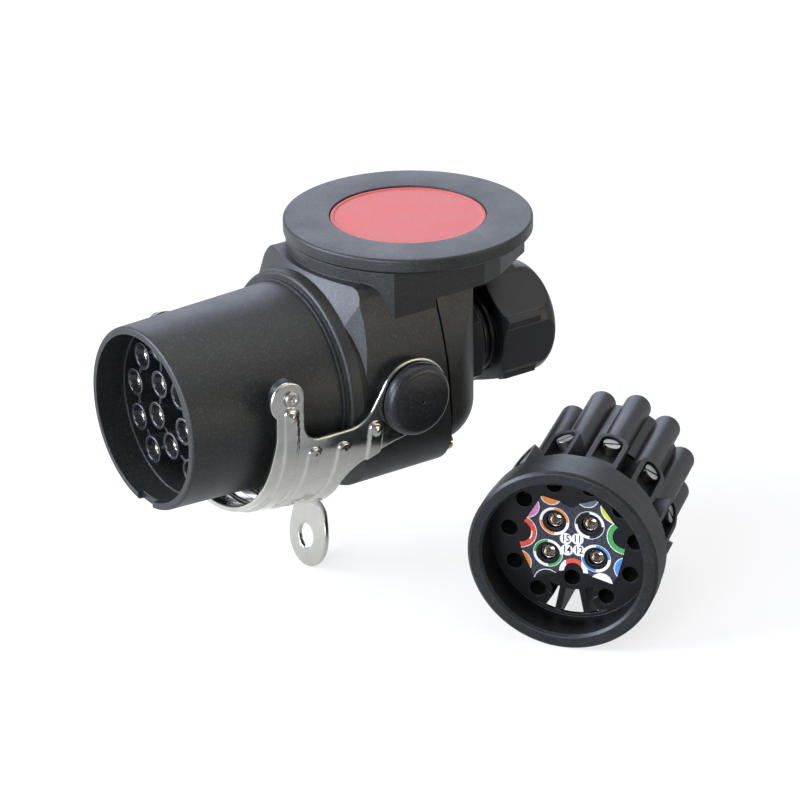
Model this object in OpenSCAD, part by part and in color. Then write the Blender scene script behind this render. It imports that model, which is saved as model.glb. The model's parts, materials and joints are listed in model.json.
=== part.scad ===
// Fifteen-pole trailer wiring plug with a stirrup lever and a cable gland,
// and a loose contact insert of the same kind lying beside it.
// Millimetres. The origin is the centre of the barrel's mouth, on the barrel's axis.
// +X points out of the mouth, +Z is up, and +Y is the side that the loose insert lies on.

/* [Barrel] */
// Diameter of the mating bore
bore_d = 50; // [48:0.5:52]
// Depth of the mating bore, from the mouth to the contact mouths
bore_depth = 9.4; // [6:0.2:14]
// Wall of the barrel at its mouth
barrel_wall = 2.2; // [1.8:0.1:3]
// Growth of the barrel's outside radius from the mouth to the collar
barrel_draft = 1.6; // [0.8:0.1:2.4]
// Length of the barrel in front of the collar
barrel_len = 50; // [46:0.5:54]
// Width of the key notch at the bottom of the rim
key_w = 8; // [4:0.5:12]
// Depth of the key notch, back from the rim
key_depth = 2; // [1:0.2:4]

/* [Collar] */
// Length of the collar that clamps the barrel to the housing
collar_len = 5.2; // [4:0.2:7]
// Step from the barrel's rear to the outside of the collar
collar_step = 3; // [2:0.1:4]

/* [Housing] */
// Wall of the housing beside the contact insert
housing_wall = 1.9; // [1.7:0.1:2.6]
// Length of the leaning front shoulder
shoulder_len = 4.2; // [3:0.1:6]
// Turn of the shoulder's leaning faces towards the sides, in degrees
shoulder_turn = 45; // [35:1:55]
// Room from the insert's rear rim to the split with the rear cover, on the axis
insert_room = 9.2; // [7:0.2:12]
// Height of the flat roof above the axis
roof_z = 32.8; // [31:0.2:35]
// Radius of the roof's rounded edges
roof_round = 5; // [3:0.5:8]
// Half width well above the axis, where the sides have leaned in
side_half_w = 27.4; // [26:0.1:28]
// Depth of the flat bottom below the axis
belly_z = 31; // [30:0.2:33]
// Radius of the bottom corners
belly_round = 17; // [12:0.5:20]
// Lean of the split plane, in degrees
split_lean = 4.6; // [0:0.2:8]

/* [Disc] */
// Distance from the collar's rear back to the disc's centre
disc_back = 38.8; // [36:0.2:42]
// Diameter of the top disc
disc_d = 73.8; // [73:0.2:78]
// Height of the disc's top above the axis
disc_top_z = 41; // [40:0.2:44]
// Thickness of the disc
disc_t = 4.5; // [4:0.1:5.5]
// Radius of the disc's rounded top edge
disc_round = 1.4; // [0.4:0.1:2]
// Radius of the round front of the tower under the disc
tower_r = 36.2; // [35:0.1:36.5]
// Half width of the tower between its flat sides
tower_half_w = 27; // [26:0.1:28]
// Reach of the tower behind the disc's centre
tower_rear = 32.8; // [28:0.2:33]
// Height of the tower's underside above the axis, in front of the split
tower_low_z = 22.6; // [20:0.2:24]
// Height of the tower's underside above the axis, over the rear cover
overhang_z = 25.4; // [25:0.2:27]
// Diameter of the coloured marking plate
plate_d = 46.2; // [30:0.2:54]
// Thickness of the marking plate
plate_t = 2; // [1:0.1:3]
// Depth of the plate's face below the disc's top
plate_sink = 0.4; // [0:0.1:1]

/* [Rear cover] */
// Length of the rear cover behind the split
cover_len = 16; // [14:0.2:20]
// Depth of the cover's bottom below the axis
cover_belly_z = 24.4; // [23:0.2:27]
// Rounding of the cover's rear and bottom edges
cover_round = 14; // [8:0.5:14.5]
// Wall of the cover
cover_wall = 3; // [2.4:0.1:4]
// Thickness of the gasket in the split
gasket_t = 0.8; // [0.5:0.1:1.5]
// Diameter of the brass corner screws' heads
corner_screw_d = 6.4; // [5:0.1:7]

/* [Gland] */
// Height of the gland's axis above the barrel's axis
gland_z = -1; // [-3:0.2:1]
// Diameter of the gland's thread
gland_thread_d = 25; // [24:0.5:26]
// Size across the flats of the gland's base
gland_base_af = 30; // [29.5:0.5:34]
// Length of the gland's hexagon base
gland_base_len = 8.6; // [7:0.2:10]
// Thread that shows between the base and the nut
thread_show = 5.7; // [4:0.1:8]
// Size across the flats of the dome nut
nut_af = 33.6; // [33:0.2:36]
// Length of the dome nut
nut_len = 21; // [19:0.5:24]
// Diameter of the cable that the seal grips
cable_d = 16; // [12:0.5:16.5]
// Turn of the dome nut about its axis, in degrees
nut_turn = -9; // [-30:1:30]

/* [Stirrup] */
// Distance from the collar's rear back to the pivot
pivot_back = 16.2; // [14:0.2:17]
// Thickness of the stirrup's sheet
sheet_t = 1.5; // [1:0.1:2]
// Gap between the collar and the stirrup's arms
stirrup_gap = 0.7; // [0.4:0.1:1.5]
// Diameter of the round ear at the pivot
ear_d = 23.8; // [22.6:0.2:26]
// Distance forward from the pivot to the centre of the tip lobe
tip_reach = 43.4; // [42:0.2:46]
// Height of the tip lobe's centre above the pivot
tip_rise = 9.8; // [8:0.2:11]
// Diameter of the tip lobe
tip_d = 11.6; // [11:0.2:14]
// Distance forward from the pivot to the strap's front edge
strap_front = 47.8; // [46.5:0.2:50]
// Width of the strap under the barrel
strap_w = 26.5; // [24:0.2:28]
// Tilt of the strap's axis, in degrees
strap_tilt = 7.7; // [4:0.1:9]
// Drop of the strap's axis below the pivot
strap_drop = 5.8; // [5:0.1:7]
// Height of the embossed ribs
rib_h = 0.5; // [0.3:0.1:0.8]
// Width of the embossed ribs
rib_w = 4.6; // [3:0.2:5.4]

/* [Pull tab] */
// Diameter of the tab's round end
tab_d = 19; // [16:0.2:22]
// Diameter of the hole in the tab
tab_hole_d = 7.5; // [5:0.1:10]
// Width of the tab's neck
tab_neck_w = 13.5; // [10:0.2:16]
// Radius of the bend at the top of the tab
tab_bend = 8.5; // [6:0.1:9.5]
// Length from the bend to the hole
tab_drop = 8; // [7:0.2:12]

/* [Pivots and rollers] */
// Diameter of the pivot boss on the housing
boss_d = 11; // [9:0.2:12]
// Wall of the pivot bush
bush_wall = 1.5; // [1:0.1:2]
// Diameter of the pivot's domed cap
cap_d = 22; // [20:0.2:22.6]
// Height of the domed cap
cap_h = 4.4; // [3.8:0.1:6]
// Diameter of the tip rollers
roller_d = 10; // [9:0.2:11]
// Diameter of the tip pins
tip_pin_d = 4; // [3:0.1:5]

/* [Contact insert] */
// Length of the contact insert
insert_len = 68; // [66.6:0.2:69]
// Step from the mating bore's radius to the outside of the insert's ring
ring_step = 3; // [2.7:0.1:3.1]
// Wall of the insert's cup
cup_wall = 4.3; // [4:0.1:4.7]
// Length of the insert's ring
ring_len = 13; // [11:0.2:14]
// Distance from the mating bore's wall in to the circle that the outer contacts stand on
outer_inset = 6.2; // [6:0.1:6.6]
// Diameter of the contact tubes
tube_d = 8.2; // [7.4:0.1:8.6]
// Outside diameter of the brass contacts
contact_d = 4.8; // [4:0.1:5]
// Inside diameter of the brass contacts
contact_bore_d = 3.4; // [2.6:0.1:3.6]
// Diameter of the terminal screws' heads
terminal_screw_d = 5; // [4:0.1:5.4]

/* [Loose insert] */
// Distance of the loose insert's rim behind the mouth
loose_back = 82.9; // [70:0.1:100]
// Distance of the loose insert's rim to the side
loose_side = 89.5; // [88:0.5:110]
// Direction that the loose insert's tubes point in, in degrees about Z
loose_turn = 217.8; // [205:0.1:230]
// Rise of the loose insert's tubes from level, in degrees
loose_rise = 1.2; // [0:0.1:3]

/* [Hidden] */
$fn = 96;
// Small amount by which joined or cut shapes run past each other
past = 0.5;
// Clearances: a seated piece, a running pin in its hole, and free faces of moving pieces
seat = 0.05;
running = 0.06;
free = 0.35;

bore_r = bore_d / 2;
// The bore steps in behind the contact mouths, so the mating part stops there
bore_step = 0.5;
deep_r = bore_r - bore_step;
rim_round = 0.9;
barrel_front_r = bore_r + barrel_wall;
barrel_rear_r = barrel_front_r + barrel_draft;
collar_r = barrel_rear_r + collar_step;
collar_lip = 0.8;
ring_r = bore_r + ring_step;
cavity_r = ring_r + 2 * seat;
spigot_r = cavity_r - seat;

// Places along the barrel, measured as X
collar_x = -barrel_len;
collar_rear_x = collar_x - collar_len;
shoulder_x = collar_rear_x - shoulder_len;
insert_x = -bore_depth - insert_len;
split_x = insert_x - insert_room;
housing_len = collar_rear_x - split_x;
cover_rear_x = split_x - cover_len;
pivot_x = collar_rear_x - pivot_back;
disc_x = collar_rear_x - disc_back;
seal_t = 0.8;
spigot_x = insert_x + ring_len + seal_t;

housing_half_w = cavity_r + housing_wall;
cover_top_z = overhang_z - 0.3;
// The sides are upright at the axis and lean in above it along a wide arc
lean = housing_half_w - side_half_w;
lean_z = 0.62 * roof_z;
lean_r = (pow(lean, 2) + pow(lean_z, 2)) / (2 * lean);
// The shoulder's leaning faces also tip back a little, and its lower corners flare like a cone
shoulder_tip = 12;
shoulder_flare = 1.5;
disc_r = disc_d / 2;
disc_low_z = disc_top_z - disc_t;
// The tower's sides turn in behind this distance from the disc's centre
tower_waist = -8;
tower_tail_half_w = tower_half_w / 2;
plate_r = plate_d / 2;

arm_in = collar_r + stirrup_gap;
arm_out = arm_in + sheet_t;
ear_r = ear_d / 2;
boss_r = boss_d / 2;
bush_r = boss_r + bush_wall;
cap_r = cap_d / 2;
cap_stem_r = boss_r / 2;
cap_stem_len = 3;
// The boss ends just past the arm, and the cap sits on its end
boss_end = arm_out + free;
roller_r = roller_d / 2;
tip_pin_r = tip_pin_d / 2;
roller_low = barrel_rear_r + free;
tip_head_r = tip_pin_r + 1;
tip_head_h = 1.1;

// The strap's axis at a distance forward of the pivot, as a height above the pivot
function strap_axis(reach) = reach * tan(strap_tilt) - strap_drop;
strap_rear = strap_front - strap_w;
tab_top_z = strap_axis(strap_rear) - (arm_in + sheet_t / 2) / cos(strap_tilt);
tab_x = strap_rear - tab_bend * (1 - sin(strap_tilt));
tab_bend_z = tab_top_z - tab_bend * cos(strap_tilt);
tab_hole_z = tab_bend_z - tab_drop;
tab_r = tab_d / 2;
floor_z = tab_hole_z - tab_r;

gland_r = gland_thread_d / 2;
nut_x = cover_rear_x - gland_base_len - thread_show;
nut_rear_x = nut_x - nut_len;
nut_corner_r = nut_af / sqrt(3);
nut_thread_r = gland_r + 1;
nut_mouth_r = cable_d / 2 + 1.2;
claw_wall = 1.6;
seal_r = gland_r - 1.2 - claw_wall;

tube_r = tube_d / 2;
contact_r = contact_d / 2;
outer_count = 11;
outer_step = 360 / outer_count;
outer_pitch_r = bore_r - outer_inset;
// The place on the outer circle at the bottom is empty, and its contact stands nearer the axis
outer_angles = [for (i = [1 : outer_count - 1]) -90 + i * outer_step];
inner_places = [[5.2, 6.5], [-5.2, 6.5], [7.1, -3.9], [-7.1, -3.9], [0, -11]];
outer_places = [for (a = outer_angles) outer_pitch_r * [cos(a), sin(a)]];
places = concat(outer_places, inner_places);
deck_t = 2.6;
deck_x = ring_len - 1.2;
cup_r = ring_r - cup_wall;
lip_len = 7;
lip_step = 0.5;
block_half_w = 4.7;
block_len = 22;
block_top_r = outer_pitch_r + 6.6;
window_half_w = 3.3;
window_x = ring_len + 5;
// The barrel is wider where the terminal blocks stand
block_room_r = block_top_r + free;
block_room_x = insert_x + ring_len + block_len + 2;
label_r = outer_pitch_r - 3.2;
label_t = 0.25;

// The loose insert stands on the rim of its ring, on the same floor as the tip of the pull tab
loose_z = floor_z + ring_r * cos(loose_rise);

// Points of an arc about a centre
function arc(centre, r, from, to, steps = 8) =
    [for (i = [0 : steps]) centre + r * [cos(from + (to - from) * i / steps),
                                         sin(from + (to - from) * i / steps)]];

// A profile of [radius, x] points turned about the X axis
module turned(points) {
    rotate([0, 90, 0]) rotate_extrude() polygon(points);
}

// A round bar along X
module rod(x_low, x_high, r) {
    translate([x_low, 0, 0]) rotate([0, 90, 0]) cylinder(h = x_high - x_low, r = r);
}

// A ring along X
module ring(x_low, x_high, r_out, r_in) {
    difference() {
        rod(x_low, x_high, r_out);
        rod(x_low - past, x_high + past, r_in);
    }
}

// A round bar along Y
module cross_rod(y_low, y_high, r) {
    translate([0, y_high, 0]) rotate([90, 0, 0]) cylinder(h = y_high - y_low, r = r);
}

// A section drawn in Y and Z, carried along X
module along(x_low, x_high) {
    translate([x_low, 0, 0]) rotate([90, 0, 90]) linear_extrude(x_high - x_low) children();
}

// An outline drawn in X and Z, carried along Y
module across(y_low, y_high) {
    translate([0, y_high, 0]) rotate([90, 0, 0]) linear_extrude(y_high - y_low) children();
}

// An outline drawn in X and Y, carried along Z
module upright(z_low, z_high) {
    translate([0, 0, z_low]) linear_extrude(z_high - z_low) children();
}

// The piece and its mirror image on the far side
module both_sides() {
    children();
    mirror([0, 1, 0]) children();
}

// Everything behind the split plane, moved back by a distance
module behind_split(back = 0) {
    size = 200;
    translate([split_x - back, 0, 0]) rotate([0, split_lean, 0])
        translate([-size, -size / 2, -size / 2]) cube(size);
}

module barrel_sleeve() {
    color("#2b2c2e")
    difference() {
        turned(concat(
            [[block_room_r, spigot_x], [block_room_r, block_room_x], [deep_r, block_room_x]],
            [[deep_r, -bore_depth], [bore_r, -bore_depth], [bore_r, 0]],
            arc([barrel_front_r - rim_round, -rim_round], rim_round, 90, 0),
            [[barrel_rear_r, collar_x], [spigot_r, collar_x], [spigot_r, spigot_x]]));
        translate([-key_depth, -key_w / 2, -barrel_rear_r])
            cube([key_depth + past, key_w, barrel_rear_r - bore_r + barrel_wall]);
    }
}

module collar_ring() {
    lip_r = barrel_rear_r + collar_lip;
    lip_x = collar_x - collar_len / 4;
    color("#2a2b2d")
    turned(concat(
        [[cavity_r, collar_rear_x], [cavity_r, collar_x], [lip_r, collar_x], [lip_r, lip_x]],
        [[lip_r + collar_step / 4, lip_x]],
        arc([collar_r - collar_step / 3, lip_x - collar_step / 3], collar_step / 3, 90, 0),
        [[collar_r, collar_rear_x]]));
}

// Upright sides below the axis and leaning sides above it
module leaning_sides(low, top, inset = 0) {
    half_w = housing_half_w - inset;
    translate([-half_w, low]) square([2 * half_w, -low]);
    intersection() {
        translate([-half_w, 0]) square([2 * half_w, top]);
        translate([housing_half_w - lean_r, 0]) circle(lean_r - inset);
        translate([lean_r - housing_half_w, 0]) circle(lean_r - inset);
    }
}

// Section of the housing: round bottom corners, leaning sides and a flat roof
module housing_section() {
    low = belly_round - belly_z;
    belly_y = housing_half_w - belly_round;
    // Centre of the roof's rounding, which touches the side's arc and the roof
    eaves = roof_z - roof_round;
    eaves_r = lean_r - roof_round;
    eaves_y = housing_half_w - lean_r + sqrt(pow(eaves_r, 2) - pow(eaves, 2));
    leaning_sides(low, eaves * lean_r / eaves_r);
    translate([-belly_y, -belly_z]) square([2 * belly_y, belly_z]);
    translate([-eaves_y, 0]) square([2 * eaves_y, roof_z]);
    for (side = [-1, 1]) {
        translate([side * belly_y, low]) circle(belly_round);
        translate([side * eaves_y, eaves]) circle(roof_round);
    }
}

// Outline of the tower under the disc, seen from above: round in front, flat at the sides
module tower_outline() {
    half = [[tower_r, tower_half_w], [tower_waist, tower_half_w],
        [tower_waist - tower_rear / 4, tower_half_w - 3.2], [-tower_rear, tower_tail_half_w]];
    intersection() {
        circle(tower_r);
        polygon(concat(half, [for (i = [len(half) - 1 : -1 : 0]) [half[i][0], -half[i][1]]]));
    }
}

// Tower in front of the split, and its lower overhang above the rear cover and the gland
module tower() {
    translate([disc_x, 0, 0]) {
        difference() {
            upright(tower_low_z, disc_low_z) tower_outline();
            translate([-disc_x, 0, 0]) behind_split();
        }
        upright(overhang_z, disc_low_z) tower_outline();
    }
}

// Front of the housing: leaning faces run from its sides to the round end that meets the collar
module shoulder_cuts() {
    size = 100;
    both_sides() translate([shoulder_x, side_half_w, lean_z]) rotate([0, 0, shoulder_turn])
        rotate([0, -shoulder_tip, 0]) translate([0, -size / 2, -size / 2]) cube(size);
}

module housing_block() {
    rear_x = split_x - housing_len / 2;
    flare_r = collar_r + shoulder_flare * (collar_rear_x - rear_x);
    difference() {
        intersection() {
            along(rear_x, collar_rear_x) housing_section();
            turned([[0, rear_x], [flare_r, rear_x], [collar_r, collar_rear_x], [0, collar_rear_x]]);
        }
        shoulder_cuts();
    }
    turned([[0, shoulder_x], [housing_half_w, shoulder_x], [collar_r, collar_rear_x], [0, collar_rear_x]]);
}

module main_housing() {
    color("#28292b")
    difference() {
        union() {
            difference() {
                housing_block();
                behind_split();
            }
            tower();
            translate([pivot_x, 0, 0]) both_sides() cross_rod(cavity_r, boss_end, boss_r);
        }
        rod(cover_rear_x, collar_rear_x + past, cavity_r);
        translate([pivot_x, 0, 0]) both_sides()
            cross_rod(boss_end - cap_stem_len - free, boss_end + past, cap_stem_r + seat);
        corner_screw_places() rod(-past, corner_screw_len, corner_screw_d / 4 + seat);
    }
}

module top_disc() {
    color("#303133")
    translate([disc_x, 0, 0]) difference() {
        rotate_extrude() polygon(concat(
            [[0, disc_low_z], [disc_r - disc_round / 2, disc_low_z],
             [disc_r, disc_low_z + disc_round / 2]],
            arc([disc_r - disc_round, disc_top_z - disc_round], disc_round, 0, 90),
            [[0, disc_top_z]]));
        translate([0, 0, disc_top_z - plate_sink - plate_t])
            cylinder(h = plate_t + plate_sink + past, r = plate_r + 2 * seat);
    }
}

module marking_plate() {
    edge = 0.3;
    low = disc_top_z - plate_sink - plate_t;
    color("#b5303a")
    translate([disc_x, 0, low]) rotate_extrude() polygon(concat(
        [[0, 0], [plate_r, 0]],
        arc([plate_r - edge, plate_t - edge], edge, 0, 90, 4),
        [[0, plate_t]]));
}

// Block with one flat top and front, whose rear and bottom edges and corners are round
module cover_block(inset) {
    r = cover_round - inset;
    rear = cover_rear_x + inset;
    front = split_x + housing_len / 2;
    half_w = housing_half_w - inset;
    low = inset - cover_belly_z;
    upright(low + r, cover_top_z - inset) {
        translate([rear + r, -half_w]) square([front - rear - r, 2 * half_w]);
        translate([rear, r - half_w]) square([front - rear, 2 * (half_w - r)]);
        for (side = [-1, 1])
            translate([rear + r, side * (half_w - r)]) circle(r);
    }
    along(rear + r, front) {
        translate([r - half_w, low]) square([2 * (half_w - r), r + past]);
        for (side = [-1, 1])
            translate([side * (half_w - r), low + r]) circle(r);
    }
    translate([rear + r, 0, low + r]) {
        cross_rod(r - half_w, half_w - r, r);
        for (side = [-1, 1])
            translate([0, side * (half_w - r), 0]) sphere(r);
    }
}

// The block's sides lean in above the axis like the housing's sides
module cover_form(inset = 0) {
    intersection() {
        cover_block(inset);
        along(cover_rear_x - past, split_x + housing_len / 2)
            leaning_sides(-2 * belly_z, roof_z, inset);
    }
}

// Inner boss that the gland's locknut bears on
locknut_x = cover_rear_x + cover_wall + 2.6;
locknut_t = 4;

module rear_cover() {
    color("#2d2e30")
    difference() {
        intersection() {
            cover_form();
            behind_split(gasket_t);
        }
        difference() {
            cover_form(cover_wall);
            gland_axis() rod(cover_rear_x, locknut_x, gland_base_af / sqrt(3));
        }
        gland_axis() rod(cover_rear_x - past, split_x, gland_r + seat);
        corner_screw_places() rod(-cover_len, past, corner_screw_d / 2 + free);
    }
}

module rear_gasket() {
    inset = 0.8;
    color("#141414")
    difference() {
        intersection() {
            cover_form(inset);
            behind_split(seat / 2);
        }
        behind_split(gasket_t - seat / 2);
        cover_form(cover_wall);
        corner_screw_places() rod(-cover_len, past, corner_screw_d / 2 + free);
    }
}

// Places of the brass screws in the lower corners of the housing's rear face, below the cover
corner_screw_len = 12;
corner_screw_y = 22.6;
corner_screw_z = -22.6;
module corner_screw_places() {
    for (side = [-1, 1])
        translate([split_x - corner_screw_z * tan(-split_lean), side * corner_screw_y, corner_screw_z])
            children();
}

module corner_screws() {
    head_h = 2.2;
    color("#c49a4a")
    corner_screw_places() {
        difference() {
            rod(-head_h - 0.6, -0.3, corner_screw_d / 2);
            translate([-head_h - 1, -corner_screw_d, -0.4]) cube([1.2, 2 * corner_screw_d, 0.8]);
        }
        rod(-0.6, corner_screw_len - 1, corner_screw_d / 4);
    }
}

module gland_axis() {
    translate([0, 0, gland_z]) children();
}

module hexagon(x_low, x_high, af) {
    translate([x_low, 0, 0]) rotate([0, 90, 0]) cylinder(h = x_high - x_low, r = af / sqrt(3), $fn = 6);
}

module gland_body() {
    inner_len = locknut_x - cover_rear_x + locknut_t + 0.6;
    seat_x = nut_x - nut_len / 3;
    color("#1b1c1e")
    gland_axis() difference() {
        union() {
            intersection() {
                hexagon(cover_rear_x - gland_base_len, cover_rear_x, gland_base_af);
                turned([[0, cover_rear_x], [nut_corner_r, cover_rear_x],
                    [nut_corner_r, cover_rear_x - gland_base_len + 1.6],
                    [gland_base_af / 2, cover_rear_x - gland_base_len], [0, cover_rear_x - gland_base_len]]);
            }
            rod(cover_rear_x - past, cover_rear_x + inner_len, gland_r - seat);
            rod(seat_x, cover_rear_x, gland_r + 1 - running);
        }
        rod(seat_x - past, cover_rear_x + inner_len + past, seal_r + claw_wall + 2 * seat);
    }
}

module gland_locknut() {
    color("#222325")
    gland_axis() difference() {
        hexagon(locknut_x + seat, locknut_x + locknut_t, gland_base_af);
        rod(locknut_x, locknut_x + locknut_t + past, gland_r);
    }
}

// Places of the seal, the claw that squeezes it and the washer behind them
claw_x = nut_x - nut_len * 0.62;
seal_front_x = cover_rear_x - gland_base_len / 2;

module gland_seal() {
    color("#161617")
    gland_axis() ring(claw_x + 2, seal_front_x, seal_r, cable_d / 2);
}

module gland_claw() {
    fingers = 10;
    slot_w = 1.2;
    color("#242527")
    gland_axis() difference() {
        ring(claw_x, seal_front_x, seal_r + claw_wall, seal_r + seat);
        for (i = [0 : fingers / 2 - 1])
            rotate([i * 360 / fingers, 0, 0])
                translate([claw_x - past, -gland_r * 2, -slot_w / 2])
                    cube([nut_len * 0.3, gland_r * 4, slot_w]);
    }
}

module gland_washer() {
    color("#333436")
    gland_axis() ring(claw_x - free - 1.4, claw_x - free, seal_r + claw_wall - seat, cable_d / 2 + 0.4);
}

module gland_nut() {
    chamfer = 1.8;
    dome_len = nut_len * 0.44;
    dome_drop = nut_corner_r - nut_mouth_r - 3.4;
    dome = [for (i = [0 : 10]) [nut_corner_r - dome_drop * (1 - cos(i * 9)),
                                nut_rear_x + dome_len * (1 - sin(i * 9))]];
    washer_rear_x = claw_x - free - 1.4;
    color("#1b1c1e")
    gland_axis() difference() {
        intersection() {
            rotate([nut_turn, 0, 0]) hexagon(nut_rear_x, nut_x, nut_af);
            turned(concat([[0, nut_x], [nut_af / 2, nut_x], [nut_corner_r, nut_x - chamfer]], dome,
                [[0, nut_rear_x]]));
        }
        rod(washer_rear_x - free, nut_x + past, gland_r + 1);
        rod(nut_rear_x - past, nut_x, nut_mouth_r);
    }
}

module pivot_bush(side) {
    // The flange ends above the height where the arm starts to curve under the barrel
    flange_r = ear_r - 2.8;
    color("#8d9094")
    translate([pivot_x, 0, 0]) mirror([0, side < 0 ? 1 : 0, 0]) difference() {
        union() {
            cross_rod(housing_half_w + seat, arm_in - 2 * free, flange_r);
            cross_rod(housing_half_w + seat, boss_end - seat, bush_r);
        }
        cross_rod(0, boss_end + past, boss_r + seat);
    }
}

module pivot_bush_near() {
    pivot_bush(1);
}

module pivot_bush_far() {
    pivot_bush(-1);
}

// Domed button pressed into the end of the pivot boss
module pivot_cap(side) {
    edge = 2.6;
    crown = 0.7;
    dimple_r = 0.5;
    crown_r = (pow(cap_r - edge, 2) + pow(crown, 2)) / (2 * crown);
    color("#232426")
    translate([pivot_x, 0, 0]) mirror([0, side < 0 ? 1 : 0, 0]) translate([0, boss_end, 0])
        rotate([-90, 0, 0]) difference() {
            union() {
                rotate_extrude() polygon(concat(
                    [[0, 0], [cap_r - 0.4, 0], [cap_r, 0.4]],
                    arc([cap_r - edge, cap_h - crown - edge], edge, 0, 80),
                    [for (i = [0 : 10]) let (r = (cap_r - edge) * (1 - i / 10))
                        [r, cap_h - crown_r + sqrt(pow(crown_r, 2) - pow(r, 2))]]));
                translate([0, 0, -cap_stem_len]) cylinder(h = cap_stem_len + past, r = cap_stem_r);
            }
            translate([0, 0, cap_h - 1]) cylinder(h = 2, r = dimple_r);
        }
}

module pivot_cap_near() {
    pivot_cap(1);
}

module pivot_cap_far() {
    pivot_cap(-1);
}

// Sheet bent to a channel: a half round under the barrel and two flat arms, offset outwards
module channel(grow = 0, inner = 0) {
    reach = 2 * strap_front;
    out_r = arm_out + grow;
    in_r = arm_in + inner;
    translate([0, 0, -strap_drop]) rotate([0, -strap_tilt, 0])
        along(-ear_d, reach) difference() {
            union() {
                circle(out_r);
                translate([-out_r, 0]) square([2 * out_r, 2 * ear_d]);
            }
            circle(in_r);
            translate([-in_r, 0]) square([2 * in_r, 2 * ear_d + past]);
        }
}

// Outline of the stirrup from the side: ear, web, lobe and strap, with the throat cut out
module stirrup_outline() {
    throat_r = 9.9;
    throat_x = 22.4;
    throat_front_r = 5.4;
    throat_low = -4.3;
    lobe_x = tip_reach;
    throat_front = tip_reach - tip_d / 2 + 0.2;
    throat_rear = throat_x - throat_r;
    // Straight edge that touches both the ear and the throat
    throat = [throat_x, throat_low + throat_r];
    edge_a = atan2(throat[1], throat[0]) + acos((ear_r + throat_r) / norm(throat));
    edge_dir = [cos(edge_a), sin(edge_a)];
    difference() {
        union() {
            circle(ear_r);
            translate([lobe_x, tip_rise]) circle(tip_d / 2);
            polygon([[0, 0], ear_r * edge_dir, throat - throat_r * edge_dir, [throat_front - past, tip_rise],
                [lobe_x, tip_rise], [strap_front - 0.6, tip_rise - 5.5], [strap_front - 0.6, -2],
                [strap_front + 0.8, -2 * ear_r + 10], [strap_front + 0.8, 4 * floor_z],
                [strap_rear, 4 * floor_z], [strap_rear, -2 * ear_r],
                [strap_rear - 0.8, -22], [strap_rear - 3, -17.8], [strap_rear - 9, -15],
                [0.15 * ear_r, -0.98 * ear_r]]);
        }
        translate(throat) circle(throat_r);
        translate([throat_front - throat_front_r, throat_low + throat_front_r]) circle(throat_front_r);
        translate([throat_x, throat_low])
            square([throat_front - throat_front_r - throat_x, 3 * ear_r]);
        translate([throat_rear, throat_low + throat_r])
            square([throat_front - throat_rear, 3 * ear_r]);
        translate([throat_x, throat_low + throat_front_r])
            square([throat_front - throat_x, 3 * ear_r]);
    }
}

// Each rib starts at a round end on the arms and runs down round the strap
rib_starts = [[strap_front - 5.2, tip_rise - 4.4], [strap_front - 14.4, -8], [strap_front - 24.2, -9],
    [strap_front - 35.4, -6.4]];
module ribs() {
    intersection() {
        channel(rib_h, sheet_t / 2);
        across(-2 * arm_out, 2 * arm_out)
            for (start = rib_starts) {
                translate(start) circle(rib_w / 2);
                translate([start[0] - rib_w / 2, 3 * floor_z])
                    square([rib_w, start[1] - 3 * floor_z]);
            }
    }
}

// Strip that leaves the strap's rear edge, bends down and ends in a round eye with a hole
module pull_tab() {
    bend = [strap_rear + tab_bend * sin(strap_tilt), tab_bend_z];
    difference() {
        intersection() {
            across(-tab_d, tab_d) {
                difference() {
                    translate(bend) circle(tab_bend + sheet_t / 2);
                    translate(bend) circle(tab_bend - sheet_t / 2);
                    translate([bend[0] - tab_d, bend[1] - 2 * tab_d]) square(2 * tab_d);
                    translate(bend) rotate(-strap_tilt) square(2 * tab_d);
                    translate([bend[0], bend[1] - tab_d]) square(2 * tab_d);
                }
                translate([tab_x - sheet_t / 2, floor_z]) square([sheet_t, bend[1] - floor_z + 0.2]);
            }
            along(-tab_d, strap_front) {
                translate([0, tab_hole_z]) circle(tab_r);
                polygon([[-0.98 * tab_r, tab_hole_z + 0.2 * tab_r], [0.98 * tab_r, tab_hole_z + 0.2 * tab_r],
                    [tab_neck_w / 2, tab_top_z + 2], [-tab_neck_w / 2, tab_top_z + 2]]);
            }
        }
        translate([0, 0, tab_hole_z]) rod(tab_x - 2 * sheet_t, tab_x + 2 * sheet_t, tab_hole_d / 2);
    }
}

module stirrup_lever() {
    color("#c9ccce")
    translate([pivot_x, 0, 0]) difference() {
        union() {
            intersection() {
                channel();
                across(-2 * arm_out, 2 * arm_out) stirrup_outline();
            }
            intersection() {
                ribs();
                across(-2 * arm_out, 2 * arm_out) stirrup_outline();
            }
            pull_tab();
        }
        cross_rod(-2 * arm_out, 2 * arm_out, bush_r + running);
        translate([tip_reach - 1, 0, tip_rise + 0.8]) cross_rod(-2 * arm_out, 2 * arm_out, tip_pin_r + seat);
    }
}

module at_tip(side) {
    translate([pivot_x + tip_reach - 1, 0, tip_rise + 0.8]) mirror([0, side < 0 ? 1 : 0, 0]) children();
}

module tip_roller(side) {
    edge = 0.6;
    color("#1d1e20")
    at_tip(side) translate([0, roller_low, 0]) rotate([-90, 0, 0]) rotate_extrude() {
        len = arm_in - free - roller_low;
        hole = tip_pin_r + running;
        polygon([[hole, 0], [roller_r - edge, 0], [roller_r, edge], [roller_r, len - edge],
            [roller_r - edge, len], [hole, len]]);
    }
}

module tip_roller_near() {
    tip_roller(1);
}

module tip_roller_far() {
    tip_roller(-1);
}

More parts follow.
